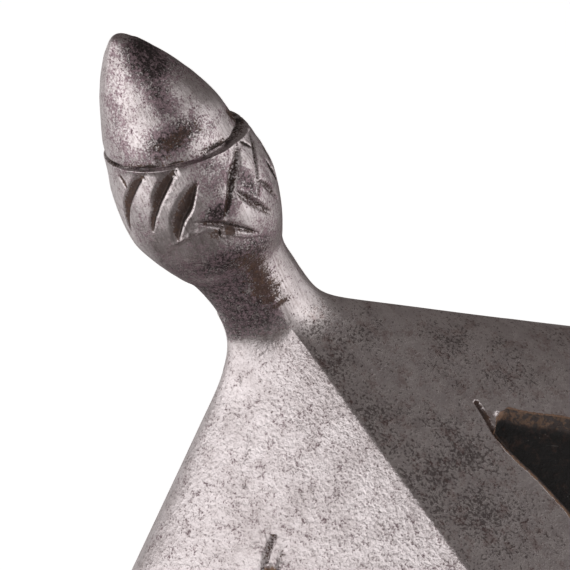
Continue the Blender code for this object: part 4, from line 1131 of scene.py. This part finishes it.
def rivet_tree():
    """Rivets on points: a domed head, a shank and a hammered tail."""
    tree = node_group("Rivets on points", (
        ("Head Radius", "NodeSocketFloat", 0.0034), ("Dome Height", "NodeSocketFloat", 0.002),
        ("Shank Radius", "NodeSocketFloat", 0.0015), ("Tail Radius", "NodeSocketFloat", 0.0025),
        ("Tail Height", "NodeSocketFloat", 0.0009), ("Sides", "NodeSocketInt", 24),
        ("Steel", "NodeSocketMaterial", None),
    ))

    def add(kind, settings=None, sockets=None):
        return place_node(tree, kind, settings, sockets).outputs

    def times(first, second):
        return add("ShaderNodeMath", {"operation": "MULTIPLY"}, {0: first, 1: second})[0]

    value = add("NodeGroupInput")
    grip = add("GeometryNodeInputNamedAttribute", {"data_type": "FLOAT"}, {"Name": "grip"})[0]
    facing = add("GeometryNodeInputNamedAttribute", {"data_type": "FLOAT_VECTOR"}, {"Name": "facing"})[0]
    turn = add("FunctionNodeAlignRotationToVector", {"axis": "Z"}, {"Vector": facing})[0]

    def dome(radius, height, flip):
        """Half a flattened ball, turned over for a tail."""
        ball = add("GeometryNodeMeshUVSphere", None, {"Segments": value["Sides"], "Rings": 12, "Radius": 1.0})
        at = add("ShaderNodeSeparateXYZ", None, {0: add("GeometryNodeInputPosition")[0]})
        level = add("ShaderNodeMath", {"operation": "MAXIMUM"}, {0: at[2], 1: 0.0})[0]
        rounded = add("ShaderNodeMath", {"operation": "POWER"}, {0: level, 1: 0.8})[0]
        place = add("ShaderNodeCombineXYZ", None, {
            0: times(at[0], radius), 1: times(times(at[1], radius), flip), 2: times(times(rounded, height), flip),
        })[0]
        return add("GeometryNodeSetPosition", None, {"Geometry": ball["Mesh"], "Position": place})[0]

    def on_points(form, shift, scale=(1.0, 1.0, 1.0)):
        """Stand copies on the points, turned to face outwards and moved along their axis."""
        offset = add("ShaderNodeVectorMath", {"operation": "SCALE"}, {0: facing, "Scale": shift})[0]
        seats = add("GeometryNodeSetPosition", None, {"Geometry": value["Geometry"], "Offset": offset})[0]
        return add("GeometryNodeInstanceOnPoints", None, {
            "Points": seats, "Instance": form, "Rotation": turn, "Scale": scale,
        })[0]

    shank = add("GeometryNodeMeshCylinder", {"fill_type": "NGON"}, {
        "Vertices": 20, "Radius": value["Shank Radius"], "Depth": 1.0,
    })["Mesh"]
    stretch = add("ShaderNodeCombineXYZ", None, {0: 1.0, 1: 1.0, 2: grip})[0]
    together = place_node(tree, "GeometryNodeJoinGeometry")
    for part in (
        on_points(dome(value["Head Radius"], value["Dome Height"], 1.0), 0.0),
        on_points(dome(value["Tail Radius"], value["Tail Height"], -1.0), times(grip, -1.0)),
        on_points(shank, times(grip, -0.5), stretch),
    ):
        tree.links.new(part, together.inputs[0])
    finish_tree(tree, together.outputs[0], value["Steel"])
    return tree


def finish_tree(tree, geometry, steel):
    """End a tree: realize, shade smooth and set the material."""
    realized = place_node(tree, "GeometryNodeRealizeInstances", None, {0: geometry})
    smooth = place_node(tree, "GeometryNodeSetShadeSmooth", None, {0: realized.outputs[0]})
    painted = place_node(tree, "GeometryNodeSetMaterial", None, {0: smooth.outputs[0], "Material": steel})
    place_node(tree, "NodeGroupOutput", None, {0: painted.outputs[0]})


def turned_edge_tree():
    """A turned edge: a round roll swept along the edge of a plate, with closed ends."""
    tree = node_group("Turned edge", (
        ("Roll Radius", "NodeSocketFloat", 0.002), ("Sides", "NodeSocketInt", 20),
        ("Steel", "NodeSocketMaterial", None),
    ))
    value = place_node(tree, "NodeGroupInput").outputs
    curve = place_node(tree, "GeometryNodeMeshToCurve", None, {0: value["Geometry"]})
    even = place_node(tree, "GeometryNodeSetCurveNormal", {"mode": "Z_UP"}, {0: curve.outputs[0]})
    ring = place_node(tree, "GeometryNodeCurvePrimitiveCircle", None, {
        "Resolution": value["Sides"], "Radius": value["Roll Radius"],
    })
    swept = place_node(tree, "GeometryNodeCurveToMesh", None, {
        "Curve": even.outputs[0], "Profile Curve": ring.outputs[0], "Fill Caps": True,
    })
    finish_tree(tree, swept.outputs[0], value["Steel"])
    return tree


def points_object(name, points, facing=None, grip=None, edges=False):
    """An object that holds points for a tree, in metres, with what the tree reads from them."""
    mesh = bpy.data.meshes.new(name)
    links = [(i, i + 1) for i in range(len(points) - 1)] if edges else []
    mesh.from_pydata([tuple(p) for p in np.asarray(points) * MM], links, [])
    if facing is not None:
        attribute = mesh.attributes.new("facing", "FLOAT_VECTOR", "POINT")
        attribute.data.foreach_set("vector", np.asarray(facing, np.float32).ravel())
        add_attribute(mesh, "grip", np.asarray(grip) * MM)
    return linked(name, mesh)


# Materials

class Wire:
    """One socket of a material's nodes; sums on it add Math nodes."""

    def __init__(self, finish, socket):
        self.finish = finish
        self.socket = socket

    def _sum(self, operation, first, second):
        return self.finish.node("ShaderNodeMath", {"operation": operation}, {0: first, 1: second})

    def __add__(self, other):
        return self._sum("ADD", self, other)

    def __radd__(self, other):
        return self._sum("ADD", other, self)

    def __sub__(self, other):
        return self._sum("SUBTRACT", self, other)

    def __rsub__(self, other):
        return self._sum("SUBTRACT", other, self)

    def __mul__(self, other):
        return self._sum("MULTIPLY", self, other)

    def __rmul__(self, other):
        return self._sum("MULTIPLY", other, self)

    def at_most(self, other):
        return self._sum("MINIMUM", self, other)

    def at_least(self, other):
        return self._sum("MAXIMUM", self, other)

    def step(self, low, high):
        """0 below low, 1 above high, and smooth between."""
        return self.finish.node("ShaderNodeMapRange", {"interpolation_type": "SMOOTHSTEP"}, {
            "Value": self, "From Min": low, "From Max": high,
        })


class Finish:
    """A material under construction."""

    def __init__(self, name):
        self.material = bpy.data.materials.new(name)
        self.material.use_nodes = True
        self.tree = self.material.node_tree
        self.shader = self.tree.nodes["Principled BSDF"]

    def node(self, kind, settings=None, sockets=None, output=0):
        """Add a node: its settings first, then values or links for its sockets. Returns one output."""
        node = self.tree.nodes.new(kind)
        for key, value in (settings or {}).items():
            setattr(node, key, value)
        for key, value in (sockets or {}).items():
            if isinstance(value, Wire):
                self.tree.links.new(value.socket, node.inputs[key])
            else:
                node.inputs[key].default_value = value
        return Wire(self, node.outputs[output])

    def blend(self, share, first, second):
        """Mix two colours."""
        def colour(value):
            return value if isinstance(value, Wire) else (*value, 1.0)

        return self.node(
            "ShaderNodeMix", {"data_type": "RGBA", "clamp_factor": True},
            {0: share, 6: colour(first), 7: colour(second)}, 2,
        )

    def scaled(self, vector, scale):
        if isinstance(scale, tuple):
            return self.node("ShaderNodeVectorMath", {"operation": "MULTIPLY"}, {0: vector, 1: scale})
        return self.node("ShaderNodeVectorMath", {"operation": "SCALE"}, {0: vector, "Scale": scale})

    def noise(self, vector, scale, detail=2.0, roughness=0.5):
        return self.node("ShaderNodeTexNoise", None, {
            "Vector": vector, "Scale": scale, "Detail": detail, "Roughness": roughness,
        })

    def attribute(self, name):
        return self.node("ShaderNodeAttribute", {"attribute_name": name}, None, 2)

    def set(self, name, value):
        if isinstance(value, Wire):
            self.tree.links.new(value.socket, self.shader.inputs[name])
        else:
            self.shader.inputs[name].default_value = value


# The darker skin colour is also the colour of the finial's painted shade and painted dark reflection
DARK_SKIN_AND_SHADE, SKIN_PALE = (0.018, 0.011, 0.011), (0.31, 0.225, 0.25)
PALE_PATCH = (0.86, 0.81, 0.79)
RED_RUST = (0.24, 0.11, 0.09)
RIM_RUST = (0.034, 0.020, 0.016)
SCRATCH = (0.75, 0.72, 0.70)


def worn_steel(name, finish, tone, darkness, marks):
    """Old bare steel: fine pits in clusters, faint scratches, brown rust and dark tarnish, with painted shade in the
    skull's cuts and seam and under its finial's cup, and a painted dark reflection across the nut.
    """
    m = Finish(name)
    place = m.scaled(m.node("ShaderNodeTexCoord", None, None, 3), 1000.0)
    broad = m.noise(place, 0.05, 3.0, 0.6)
    patches = m.noise(place, 0.30, 4.0, 0.62)
    small = m.noise(place, 1.7, 4.0, 0.65)
    grain = m.noise(place, 6.0, 3.0, 0.7)
    speckle = m.noise(place, 4.8, 3.0, 0.62) - 0.5
    lumps = m.noise(place, 0.7, 3.0, 0.6) - 0.5
    flecks = m.noise(place, 3.0, 3.0, 0.62) - 0.5
    relief = m.noise(place, 2.2, 1.0, 0.5)
    tarnish_colour, stain_colour = finish.tarnish_colour[:], finish.stain_colour[:]
    rust_colour, crust_colour = finish.rust_colour[:], finish.crust_colour[:]

    # Pits: hollows that widen and join where the steel is crowded with them
    crowd = patches.step(0.42, 0.66) * 0.4 + broad.step(0.45, 0.65) * 0.1 + 0.1 + darkness * 0.2
    if marks:
        dirt, stain, field = m.attribute("dirt"), m.attribute("stain"), m.attribute("field")
        finial, pitted, bare = m.attribute("finial"), m.attribute("pitted"), m.attribute("bare")
        black = m.attribute("black")
        crowd = crowd + pitted * 0.6 + bare * 0.1 + stain * 0.3
    pits = (speckle + (relief - 0.5) * 0.35 + lumps * 0.25 - 0.125 + crowd * 0.12).step(0.0, 0.18)
    pit_depth = 0.62

    # Scratches: long thin noise in two directions
    scratch_a = m.noise(m.scaled(place, (0.20, 3.4, 5.0)), 1.0, 2.0).step(0.68, 0.72)
    scratch_b = m.noise(m.scaled(place, (4.2, 0.25, 0.4)), 1.0, 2.0).step(0.70, 0.74)
    scratches = (scratch_a + scratch_b).at_most(1.0) * patches.step(0.45, 0.6)

    tarnish = (broad * 0.4 + patches * 0.6).step(0.44, 0.64) * 0.3 + small.step(0.5, 0.7) * 0.12 + darkness
    rust = (patches * 0.45 + small * 0.55).step(0.60, 0.68) * 0.45
    roughness = 0.33 + patches * 0.06 + grain * 0.06 + pits * 0.2
    metallic = 1.0 - rust * 0.5
    height = patches * 0.012 + small * 0.010 + grain * 0.004 - pits * 0.012 - scratches * 0.003
    colour = m.blend(tarnish.at_most(1.0), tone, tarnish_colour)
    if marks:
        # The finial's streaks, left by the file
        upright = m.node("ShaderNodeVectorRotate", {"rotation_type": "X_AXIS"}, {
            "Vector": place, "Center": tuple(APEX), "Angle": FINIAL_LEAN,
        })
        streaks = m.noise(m.scaled(upright, (1.0, 1.0, 0.07)), 4.4, 4.0, 0.7)
        height = height + finial * streaks * 0.03

        # The bright facets, rough with fine hollows
        height = height + bare * (relief * 0.09 + small * 0.05 + speckle * 0.045 - pits * 0.006)
        height = height + stain.at_most(1.0) * (speckle * 0.10 + small * 0.05)
        roughness = roughness - finial * 0.06
        colour = m.blend(finial * streaks.step(0.48, 0.62) * 0.55, colour, tarnish_colour)
        bumps = speckle * 2.2 + (relief - 0.5) * 1.6 + lumps * 1.4
        colour = m.blend(bare * bumps.step(-0.2, 0.9) * 0.62, colour, tarnish_colour)
        pit_depth = pit_depth - bare * 0.40 - finial * 0.14 + bare * pitted * 0.25

        # Dark skin over the stains, and with it the painted dark reflection across the nut and the painted shade under
        # the cup
        blotch = (stain + speckle * 2.6 + (relief - 0.5) * 1.0 + lumps * 1.5).step(0.20, 0.80)
        pale = (bumps + flecks * 2.0 - (stain - 0.8) * 0.5).step(-0.35, 0.50)
        skin_and_shade = m.blend(pale, DARK_SKIN_AND_SHADE, SKIN_PALE)
        colour = m.blend(blotch * 0.97, colour, skin_and_shade)

        # Brown-black mottling of the duller facets
        dull = (1.0 - bare) * (1.0 - finial)
        mottle = (flecks * 4.0 + (small - 0.5) * 1.6 + (patches - 0.5) * 1.5 + pitted * 0.8).step(0.3, 0.9)
        colour = m.blend(dull * (lumps + (small - 0.5) * 0.5).step(-0.2, 0.16) * 0.42, colour, PALE_PATCH)
        colour = m.blend(dull * mottle * 0.66, colour, stain_colour)
        height = height + dull * (relief * 0.03 + small * 0.03 + flecks * 0.03)
        red = (m.noise(place, 0.55, 4.0, 0.7) - 0.5 + speckle * 0.4).step(0.03, 0.12)
        colour = m.blend(dull * red * 0.3, colour, RED_RUST)

        # Rust in the cuts, painted shade on their shadowed walls and in the seam, and the sunk fields with their rusty
        # rims
        cut_dirt = (dirt + speckle * 2.0 + (small - 0.5) * 1.0).step(0.28, 0.72)
        crust = (small * 0.6 + grain * 0.4).step(0.50, 0.62)
        in_field = (field + (small - 0.5) * 0.15).step(0.72, 0.92)
        edge = (field + (small - 0.5) * 0.5 + (grain - 0.5) * 0.3).step(0.12, 0.36)
        # Painted shade: the black attribute darkens the cuts' shadowed walls and the seam's middle towards black
        groove_shade = (black + (small - 0.5) * 0.8).step(0.25, 0.75)
        colour = m.blend(cut_dirt * 0.9, colour, rust_colour)
        colour = m.blend(cut_dirt * crust * 0.4, colour, crust_colour)
        colour = m.blend(groove_shade * 0.72, colour, finish.black_colour[:])
        rim = (small + lumps * 0.8 - (field - 0.8) * 0.6).step(0.46, 0.66)
        colour = m.blend(edge * 0.95, colour, m.blend(rim, RIM_RUST, crust_colour))
        scale_rust = (lumps * 2.0 + (small - 0.5) * 1.2 + (patches - 0.5)).step(0.0, 0.5)
        colour = m.blend(in_field * 0.99, colour, m.blend(scale_rust * 0.45, finish.black_colour[:], rust_colour))
        roughness = roughness + cut_dirt * 0.3 + edge * 0.36 + blotch * 0.12
        metallic = (metallic - cut_dirt * 0.4 - edge * 0.92 - blotch * 0.2).at_least(0.0)
        height = height + (in_field + edge) * (small * 0.10 + grain * 0.04)
    colour = m.blend(rust * 0.6, colour, rust_colour)
    colour = m.blend(pits * pit_depth, colour, stain_colour)
    colour = m.blend(scratches * 0.15, colour, SCRATCH)
    m.set("Base Color", colour)
    m.set("Metallic", metallic)
    m.set("Roughness", roughness.at_most(0.9))
    m.set("Normal", m.node("ShaderNodeBump", None, {"Strength": 1.0, "Distance": 0.001, "Height": height}))
    return m.material


STEELS = {
    # colour, darkness, whether the skull's marks show on it
    "skull_steel": ("bright_steel", 0.0, True),
    "plate_steel": ("plate_steel", 0.1, False),
    "hinge_steel": ("plate_steel", 0.45, False),
    "rivet_steel": ("plate_steel", 0.3, False),
}
MATERIALS = {}


def material(slot):
    """Each steel is made once and shared by its pieces."""
    if slot not in MATERIALS:
        finish = bpy.context.scene.burgonet_finish
        colour, darkness, marks = STEELS[slot]
        MATERIALS[slot] = worn_steel(slot, finish, getattr(finish, colour)[:], darkness, marks)
    return MATERIALS[slot]


# Settings

def length_property(name, description, default):
    return bpy.props.FloatProperty(
        name=name, description=description, default=default, min=0.0, unit="LENGTH", subtype="DISTANCE",
    )


def colour_property(name, description, default):
    return bpy.props.FloatVectorProperty(
        name=name, description=description, default=default, size=3, min=0.0, max=1.0, subtype="COLOR",
    )


def power_property(name, description, default):
    return bpy.props.FloatProperty(name=name, description=description, default=default, min=0.0, unit="POWER")


def share_property(name, description, default):
    return bpy.props.FloatProperty(
        name=name, description=description, default=default, min=0.0, max=1.0, subtype="FACTOR",
    )


class BurgonetSizes(bpy.types.PropertyGroup):
    """Sizes of the helmet's pieces."""

    wall: length_property("Wall", "Thickness of the skull's plate", 0.0018)
    field_depth: length_property("Field Depth", "How far the four fields are sunk below the bands", 0.0017)
    seam_depth: length_property("Seam Depth", "Depth of the groove between nut and cup", 0.0006)
    plate: length_property("Plate", "Thickness of the peak, neck guard and cheekpieces", 0.0015)
    rivet_head: length_property("Rivet Head", "Radius of a rivet's head", 0.0034)
    rivet_dome: length_property("Rivet Dome", "Height of a rivet's head", 0.0020)
    peak_roll: length_property("Peak Roll", "Radius of the peak's turned edge", 0.00198)
    neck_roll: length_property("Neck Roll", "Radius of the neck guard's turned edge", 0.00202)


class BurgonetFinish(bpy.types.PropertyGroup):
    """Colours of the steel, its tarnish and rust."""

    bright_steel: colour_property("Bright Steel", "Bare steel of the skull", (0.63, 0.575, 0.58))
    plate_steel: colour_property("Plate Steel", "Bare steel of the plates", (0.52, 0.475, 0.465))
    tarnish_colour: colour_property("Tarnish", "Grey-brown tarnish over the steel", (0.26, 0.21, 0.205))
    stain_colour: colour_property("Stain", "Dark stains and the bottoms of pits", (0.050, 0.031, 0.030))
    rust_colour: colour_property("Rust", "Dark brown rust in grooves", (0.060, 0.030, 0.021))
    crust_colour: colour_property("Rust Crust", "Lighter crusts of rust", (0.21, 0.115, 0.065))
    # Also the colour of the painted shade in the cuts and the seam
    black_colour: colour_property("Black Field", "Steel left black in the sunk fields", (0.006, 0.005, 0.005))


class BurgonetStage(bpy.types.PropertyGroup):
    """Floor, lights and camera."""

    floor_colour: colour_property("Floor", "Colour of the floor", (0.80, 0.79, 0.78))
    key_power: power_property("Key Light", "Power of the large soft light", 18.5)
    side_power: power_property("Side Light", "Power of the weaker light from the front", 11.5)
    fill_power: power_property("Fill Light", "Power of the weak light behind the camera", 1.1)
    floor_glow: share_property("Floor Glow", "Even brightness of the floor beside what the lights give it", 0.80)
    surround: share_property("Surround", "Brightness of the dim surroundings", 0.14)


# Operators

SIDES = ((1, "left"), (-1, "right"))


class BURGONET_OT_skull(bpy.types.Operator):
    """Build the skull with its ridges, sunk fields and acorn finial"""

    bl_idname = "burgonet.skull"
    bl_label = "Skull and Finial"

    def execute(self, context):
        mesh = build_skull_mesh(context.scene.burgonet_sizes)
        new_piece("skull_and_finial", mesh, "skull_steel", "helmet", ["skull"])
        return {"FINISHED"}


def build_riveted_plate(name, section, half_turn, stations, plate, roll):
    """A plate lofted round the skull, and the turned edge that follows its rim."""
    made = [section(turn, plate / MM) for turn in np.linspace(-half_turn, half_turn, stations)]
    mesh = mesh_of(name, *loft([outline for outline, _ in made]), 38)
    new_piece(f"{name}_plate", mesh, "plate_steel", "helmet", [name])
    path = points_object(f"{name}_path", [centre for _, centre in made], edges=True)
    edge = run_tree(path, turned_edge_tree(), {"Roll Radius": roll, "Sides": 20, "Steel": material("plate_steel")})
    new_piece(f"{name}_turned_edge", edge, "plate_steel", "helmet", [name])


class BURGONET_OT_peak(bpy.types.Operator):
    """Build the peak over the brow, with its turned edge"""

    bl_idname = "burgonet.peak"
    bl_label = "Peak"

    def execute(self, context):
        sizes = context.scene.burgonet_sizes
        build_riveted_plate("peak", peak_section, PEAK["half_turn"], 73, sizes.plate, sizes.peak_roll)
        return {"FINISHED"}


class BURGONET_OT_neck_guard(bpy.types.Operator):
    """Build the neck guard at the nape, with its turned edge"""

    bl_idname = "burgonet.neck_guard"
    bl_label = "Neck Guard"

    def execute(self, context):
        sizes = context.scene.burgonet_sizes
        build_riveted_plate("neck_guard", neck_section, NECK["half_turn"], 85, sizes.plate, sizes.neck_roll)
        return {"FINISHED"}


class BURGONET_OT_cheekpieces(bpy.types.Operator):
    """Build the two cheekpieces"""

    bl_idname = "burgonet.cheekpieces"
    bl_label = "Cheekpieces"

    def execute(self, context):
        form = thickened(cheek_rows(), context.scene.burgonet_sizes.plate / MM)
        for side, word in SIDES:
            item = linked("cheek", mesh_of("cheek", *mirrored(form, side)))
            ease_edges(item, 0.35, 50)
            mesh = applied(item)
            mesh.shade_smooth()
            name = f"cheekpiece_{word}"
            new_piece(f"{name}_plate", mesh, "plate_steel", f"cheek_{word}", [name])
        return {"FINISHED"}


class BURGONET_OT_hinges(bpy.types.Operator):
    """Build the hinges' leaves and pins"""

    bl_idname = "burgonet.hinges"
    bl_label = "Hinges"

    def execute(self, context):
        for side, word in SIDES:
            for name, mesh, body, node in (
                ("hinge_leaf_upper", hinge_leaf_mesh(True, side), "helmet", "hinge_upper"),
                ("hinge_leaf_lower", hinge_leaf_mesh(False, side), f"cheek_{word}", "hinge_lower"),
                ("pin", pin_mesh(side), "helmet", "hinge_pin"),
            ):
                new_piece(f"{name}_{word}", mesh, "hinge_steel", body, [f"{node}_{word}"])
        return {"FINISHED"}


def rivet_seats(plate):
    """For each body, the nodes its rivets stand for and each one's seat, outward direction and grip."""
    seats = {"helmet": [], "cheek_left": [], "cheek_right": []}
    grip = GAP + plate + COLLAR_GAP + SKULL_WALL + TAIL_ROOM
    for word, half, turns in (("peak", "front", PEAK_RIVETS), ("neck", "rear", NECK_RIVETS)):
        for index, turn in enumerate(turns):
            seat, out = shell_point(half, RIVET_LEVEL, float(turn), COLLAR_GAP + plate + GAP)
            seats["helmet"].append((f"rivet_{word}_{index + 1}", seat, out, grip))
    root = HINGE[0] - KNUCKLE
    for side, word in SIDES:
        for index, y in enumerate((HINGE[1] - LEAF_RIVET_Y, HINGE[1] + LEAF_RIVET_Y)):
            seat = np.array((side * (root + LEAF + GAP), y, HINGE[2] + LEAF_RIVET_Z))
            leaf_grip = GAP + LEAF + LEAF_STANDOFF + SKULL_WALL + TAIL_ROOM
            seats["helmet"].append((f"rivet_hinge_{word}_{index + 1}", seat, LEFT * side, leaf_grip))
            z = HINGE[2] - LEAF_RIVET_Z
            rise = (cheek_inset(z - 1.0) - cheek_inset(z + 1.0)) / 2.0
            out = unit(np.array((side, 0.0, -rise)))
            seat = np.array((side * (root - cheek_inset(z)), y, z)) + out * (LEAF + GAP)
            cheek_grip = GAP + LEAF + LEAF_STANDOFF + plate + TAIL_ROOM
            seats[f"cheek_{word}"].append((f"rivet_cheek_{word}_{index + 1}", seat, out, cheek_grip))
    return seats


class BURGONET_OT_rivets(bpy.types.Operator):
    """Set all the rivets"""

    bl_idname = "burgonet.rivets"
    bl_label = "Rivets"

    def execute(self, context):
        sizes = context.scene.burgonet_sizes
        tree = rivet_tree()
        for body, rows in rivet_seats(sizes.plate / MM).items():
            names, seats, outs, grips = zip(*rows)
            points = points_object(f"rivet_points_{body}", seats, outs, grips)
            mesh = run_tree(points, tree, {
                "Head Radius": sizes.rivet_head, "Dome Height": sizes.rivet_dome, "Sides": 24,
                "Shank Radius": RIVET_SHANK * MM, "Tail Radius": RIVET_TAIL * MM, "Steel": material("rivet_steel"),
            })
            new_piece(f"rivets_{body}", mesh, "rivet_steel", body, names)
        return {"FINISHED"}


def add_area_light(name, place, aim, size, power, up):
    """A soft panel that faces the aim, with its height along the camera's up."""
    data = bpy.data.lights.new(name, "AREA")
    data.shape = "RECTANGLE"
    data.size, data.size_y = size
    data.energy = power
    light = linked(name, data)
    back = (place - aim).normalized()
    across = up.cross(back).normalized()
    light.matrix_world = Matrix.Translation(place) @ Matrix((across, back.cross(across), back)).transposed().to_4x4()
    light.visible_camera = False


VIEW_AZIMUTH = math.radians(249.1)
VIEW_ELEVATION = math.radians(20.0)
VIEW_DISTANCE = 0.45
VIEW_WIDTH = 0.0627  # width of what the camera frames at its aim
VIEW_SHIFT = (0.00227, 0.00034)  # the aim lies this far right of and above the apex
FLOOR_RADIUS = 1.1
FLOOR_SIDES = 96
LIGHTS = (
    # name, degrees right of the camera, degrees up, distance, half width and half height in degrees,
    # power setting, share of it
    ("key_light", -57.0, -10.0, 1.3, 43.0, 35.0, "key_power", 1.0),
    ("key_core", -66.0, -3.0, 1.25, 16.0, 20.0, "key_power", 0.05),
    ("back_light", -132.0, -2.0, 1.3, 30.0, 28.0, "key_power", 0.22),
    ("side_light", 84.0, -4.0, 1.2, 52.0, 34.0, "side_power", 1.0),
    ("side_core", 76.0, -4.0, 1.15, 18.0, 22.0, "side_power", 0.15),
    ("fill_light", -4.0, -9.0, 1.3, 23.0, 23.0, "fill_power", 1.0),
)


class BURGONET_OT_stage(bpy.types.Operator):
    """Set the floor, the lights and the camera"""

    bl_idname = "burgonet.stage"
    bl_label = "Floor, Lights and Camera"

    def execute(self, context):
        scene = context.scene
        settings = scene.burgonet_stage
        toward = Vector((
            math.sin(VIEW_AZIMUTH) * math.cos(VIEW_ELEVATION),
            -math.cos(VIEW_AZIMUTH) * math.cos(VIEW_ELEVATION),
            math.sin(VIEW_ELEVATION),
        ))
        right = Vector((math.cos(VIEW_AZIMUTH), math.sin(VIEW_AZIMUTH), 0.0))
        up = toward.cross(right)
        aim = Vector(APEX * MM) + right * VIEW_SHIFT[0] + up * VIEW_SHIFT[1]

        camera_data = bpy.data.cameras.new("camera")
        camera_data.lens = camera_data.sensor_width * VIEW_DISTANCE / VIEW_WIDTH
        camera_data.clip_start = 0.01
        camera_data.clip_end = 200.0
        camera = linked("camera", camera_data)
        turn = Matrix((right, up, toward)).transposed().to_4x4()
        camera.matrix_world = Matrix.Translation(aim + toward * VIEW_DISTANCE) @ turn
        scene.camera = camera

        mesh = bpy.data.meshes.new("floor")
        turns = np.linspace(0.0, 2.0 * math.pi, FLOOR_SIDES, endpoint=False)
        edge = [(FLOOR_RADIUS * math.cos(turn), FLOOR_RADIUS * math.sin(turn), 0.0) for turn in turns]
        mesh.from_pydata(edge, [], [tuple(range(FLOOR_SIDES))])
        floor = linked("floor", mesh)
        paint = Finish("floor_paint")
        mottle = paint.noise(paint.node("ShaderNodeTexCoord", None, None, 3), 3.0)
        paint.set("Base Color", paint.blend(mottle * 0.1, settings.floor_colour[:], (0.7, 0.7, 0.7)))
        paint.set("Roughness", 0.8)
        paint.set("Emission Color", (1.0, 1.0, 1.0, 1.0))
        paint.set("Emission Strength", settings.floor_glow)
        floor.visible_glossy = False
        mesh.materials.append(paint.material)

        for name, turn, rise, distance, wide, tall, setting, part in LIGHTS:
            turn, rise = math.radians(turn), math.radians(rise)
            ahead = toward * (math.cos(turn) * math.cos(rise)) + right * (math.sin(turn) * math.cos(rise))
            place = aim + (ahead + up * math.sin(rise)) * distance
            size = [2.0 * distance * math.tan(math.radians(spread)) for spread in (wide, tall)]
            add_area_light(name, place, aim, size, getattr(settings, setting) * part, up)

        world = bpy.data.worlds.new("surroundings")
        scene.world = world
        world.use_nodes = True
        tree = world.node_tree
        tree.nodes.clear()
        seen = place_node(tree, "ShaderNodeBackground", None, {"Color": (1, 1, 1, 1), "Strength": 1.0})
        dim = place_node(tree, "ShaderNodeBackground", None, {
            "Color": (1.0, 0.90, 0.86, 1), "Strength": settings.surround,
        })
        path = place_node(tree, "ShaderNodeLightPath")
        both = place_node(tree, "ShaderNodeMixShader", None, {
            0: path.outputs["Is Camera Ray"], 1: dim.outputs[0], 2: seen.outputs[0],
        })
        place_node(tree, "ShaderNodeOutputWorld", None, {0: both.outputs[0]})
        scene.view_settings.view_transform = "Standard"
        return {"FINISHED"}


OPERATORS = (
    BURGONET_OT_skull, BURGONET_OT_peak, BURGONET_OT_neck_guard, BURGONET_OT_cheekpieces,
    BURGONET_OT_hinges, BURGONET_OT_rivets, BURGONET_OT_stage,
)


class BURGONET_PT_panel(bpy.types.Panel):
    """Lists the helmet's pieces and settings"""

    bl_label = "Burgonet"
    bl_idname = "BURGONET_PT_panel"
    bl_space_type = "VIEW_3D"
    bl_region_type = "UI"
    bl_category = "Burgonet"

    def draw(self, context):
        for operator in OPERATORS:
            self.layout.operator(operator.bl_idname)
        for key in GROUPS:
            group = getattr(context.scene, key)
            box = self.layout.box()
            for name in group.__annotations__:
                box.prop(group, name)


GROUPS = {"burgonet_sizes": BurgonetSizes, "burgonet_finish": BurgonetFinish, "burgonet_stage": BurgonetStage}
CLASSES = (*GROUPS.values(), *OPERATORS, BURGONET_PT_panel)


def register():
    for entry in CLASSES:
        bpy.utils.register_class(entry)
    for key, group in GROUPS.items():
        setattr(bpy.types.Scene, key, bpy.props.PointerProperty(type=group))


def unregister():
    for key in GROUPS:
        delattr(bpy.types.Scene, key)
    for entry in reversed(CLASSES):
        bpy.utils.unregister_class(entry)


def main():
    register()
    bpy.ops.burgonet.skull()
    bpy.ops.burgonet.peak()
    bpy.ops.burgonet.neck_guard()
    bpy.ops.burgonet.cheekpieces()
    bpy.ops.burgonet.hinges()
    bpy.ops.burgonet.rivets()
    bpy.ops.burgonet.stage()
    bpy.context.view_layer.update()


if __name__ == "__main__":
    main()
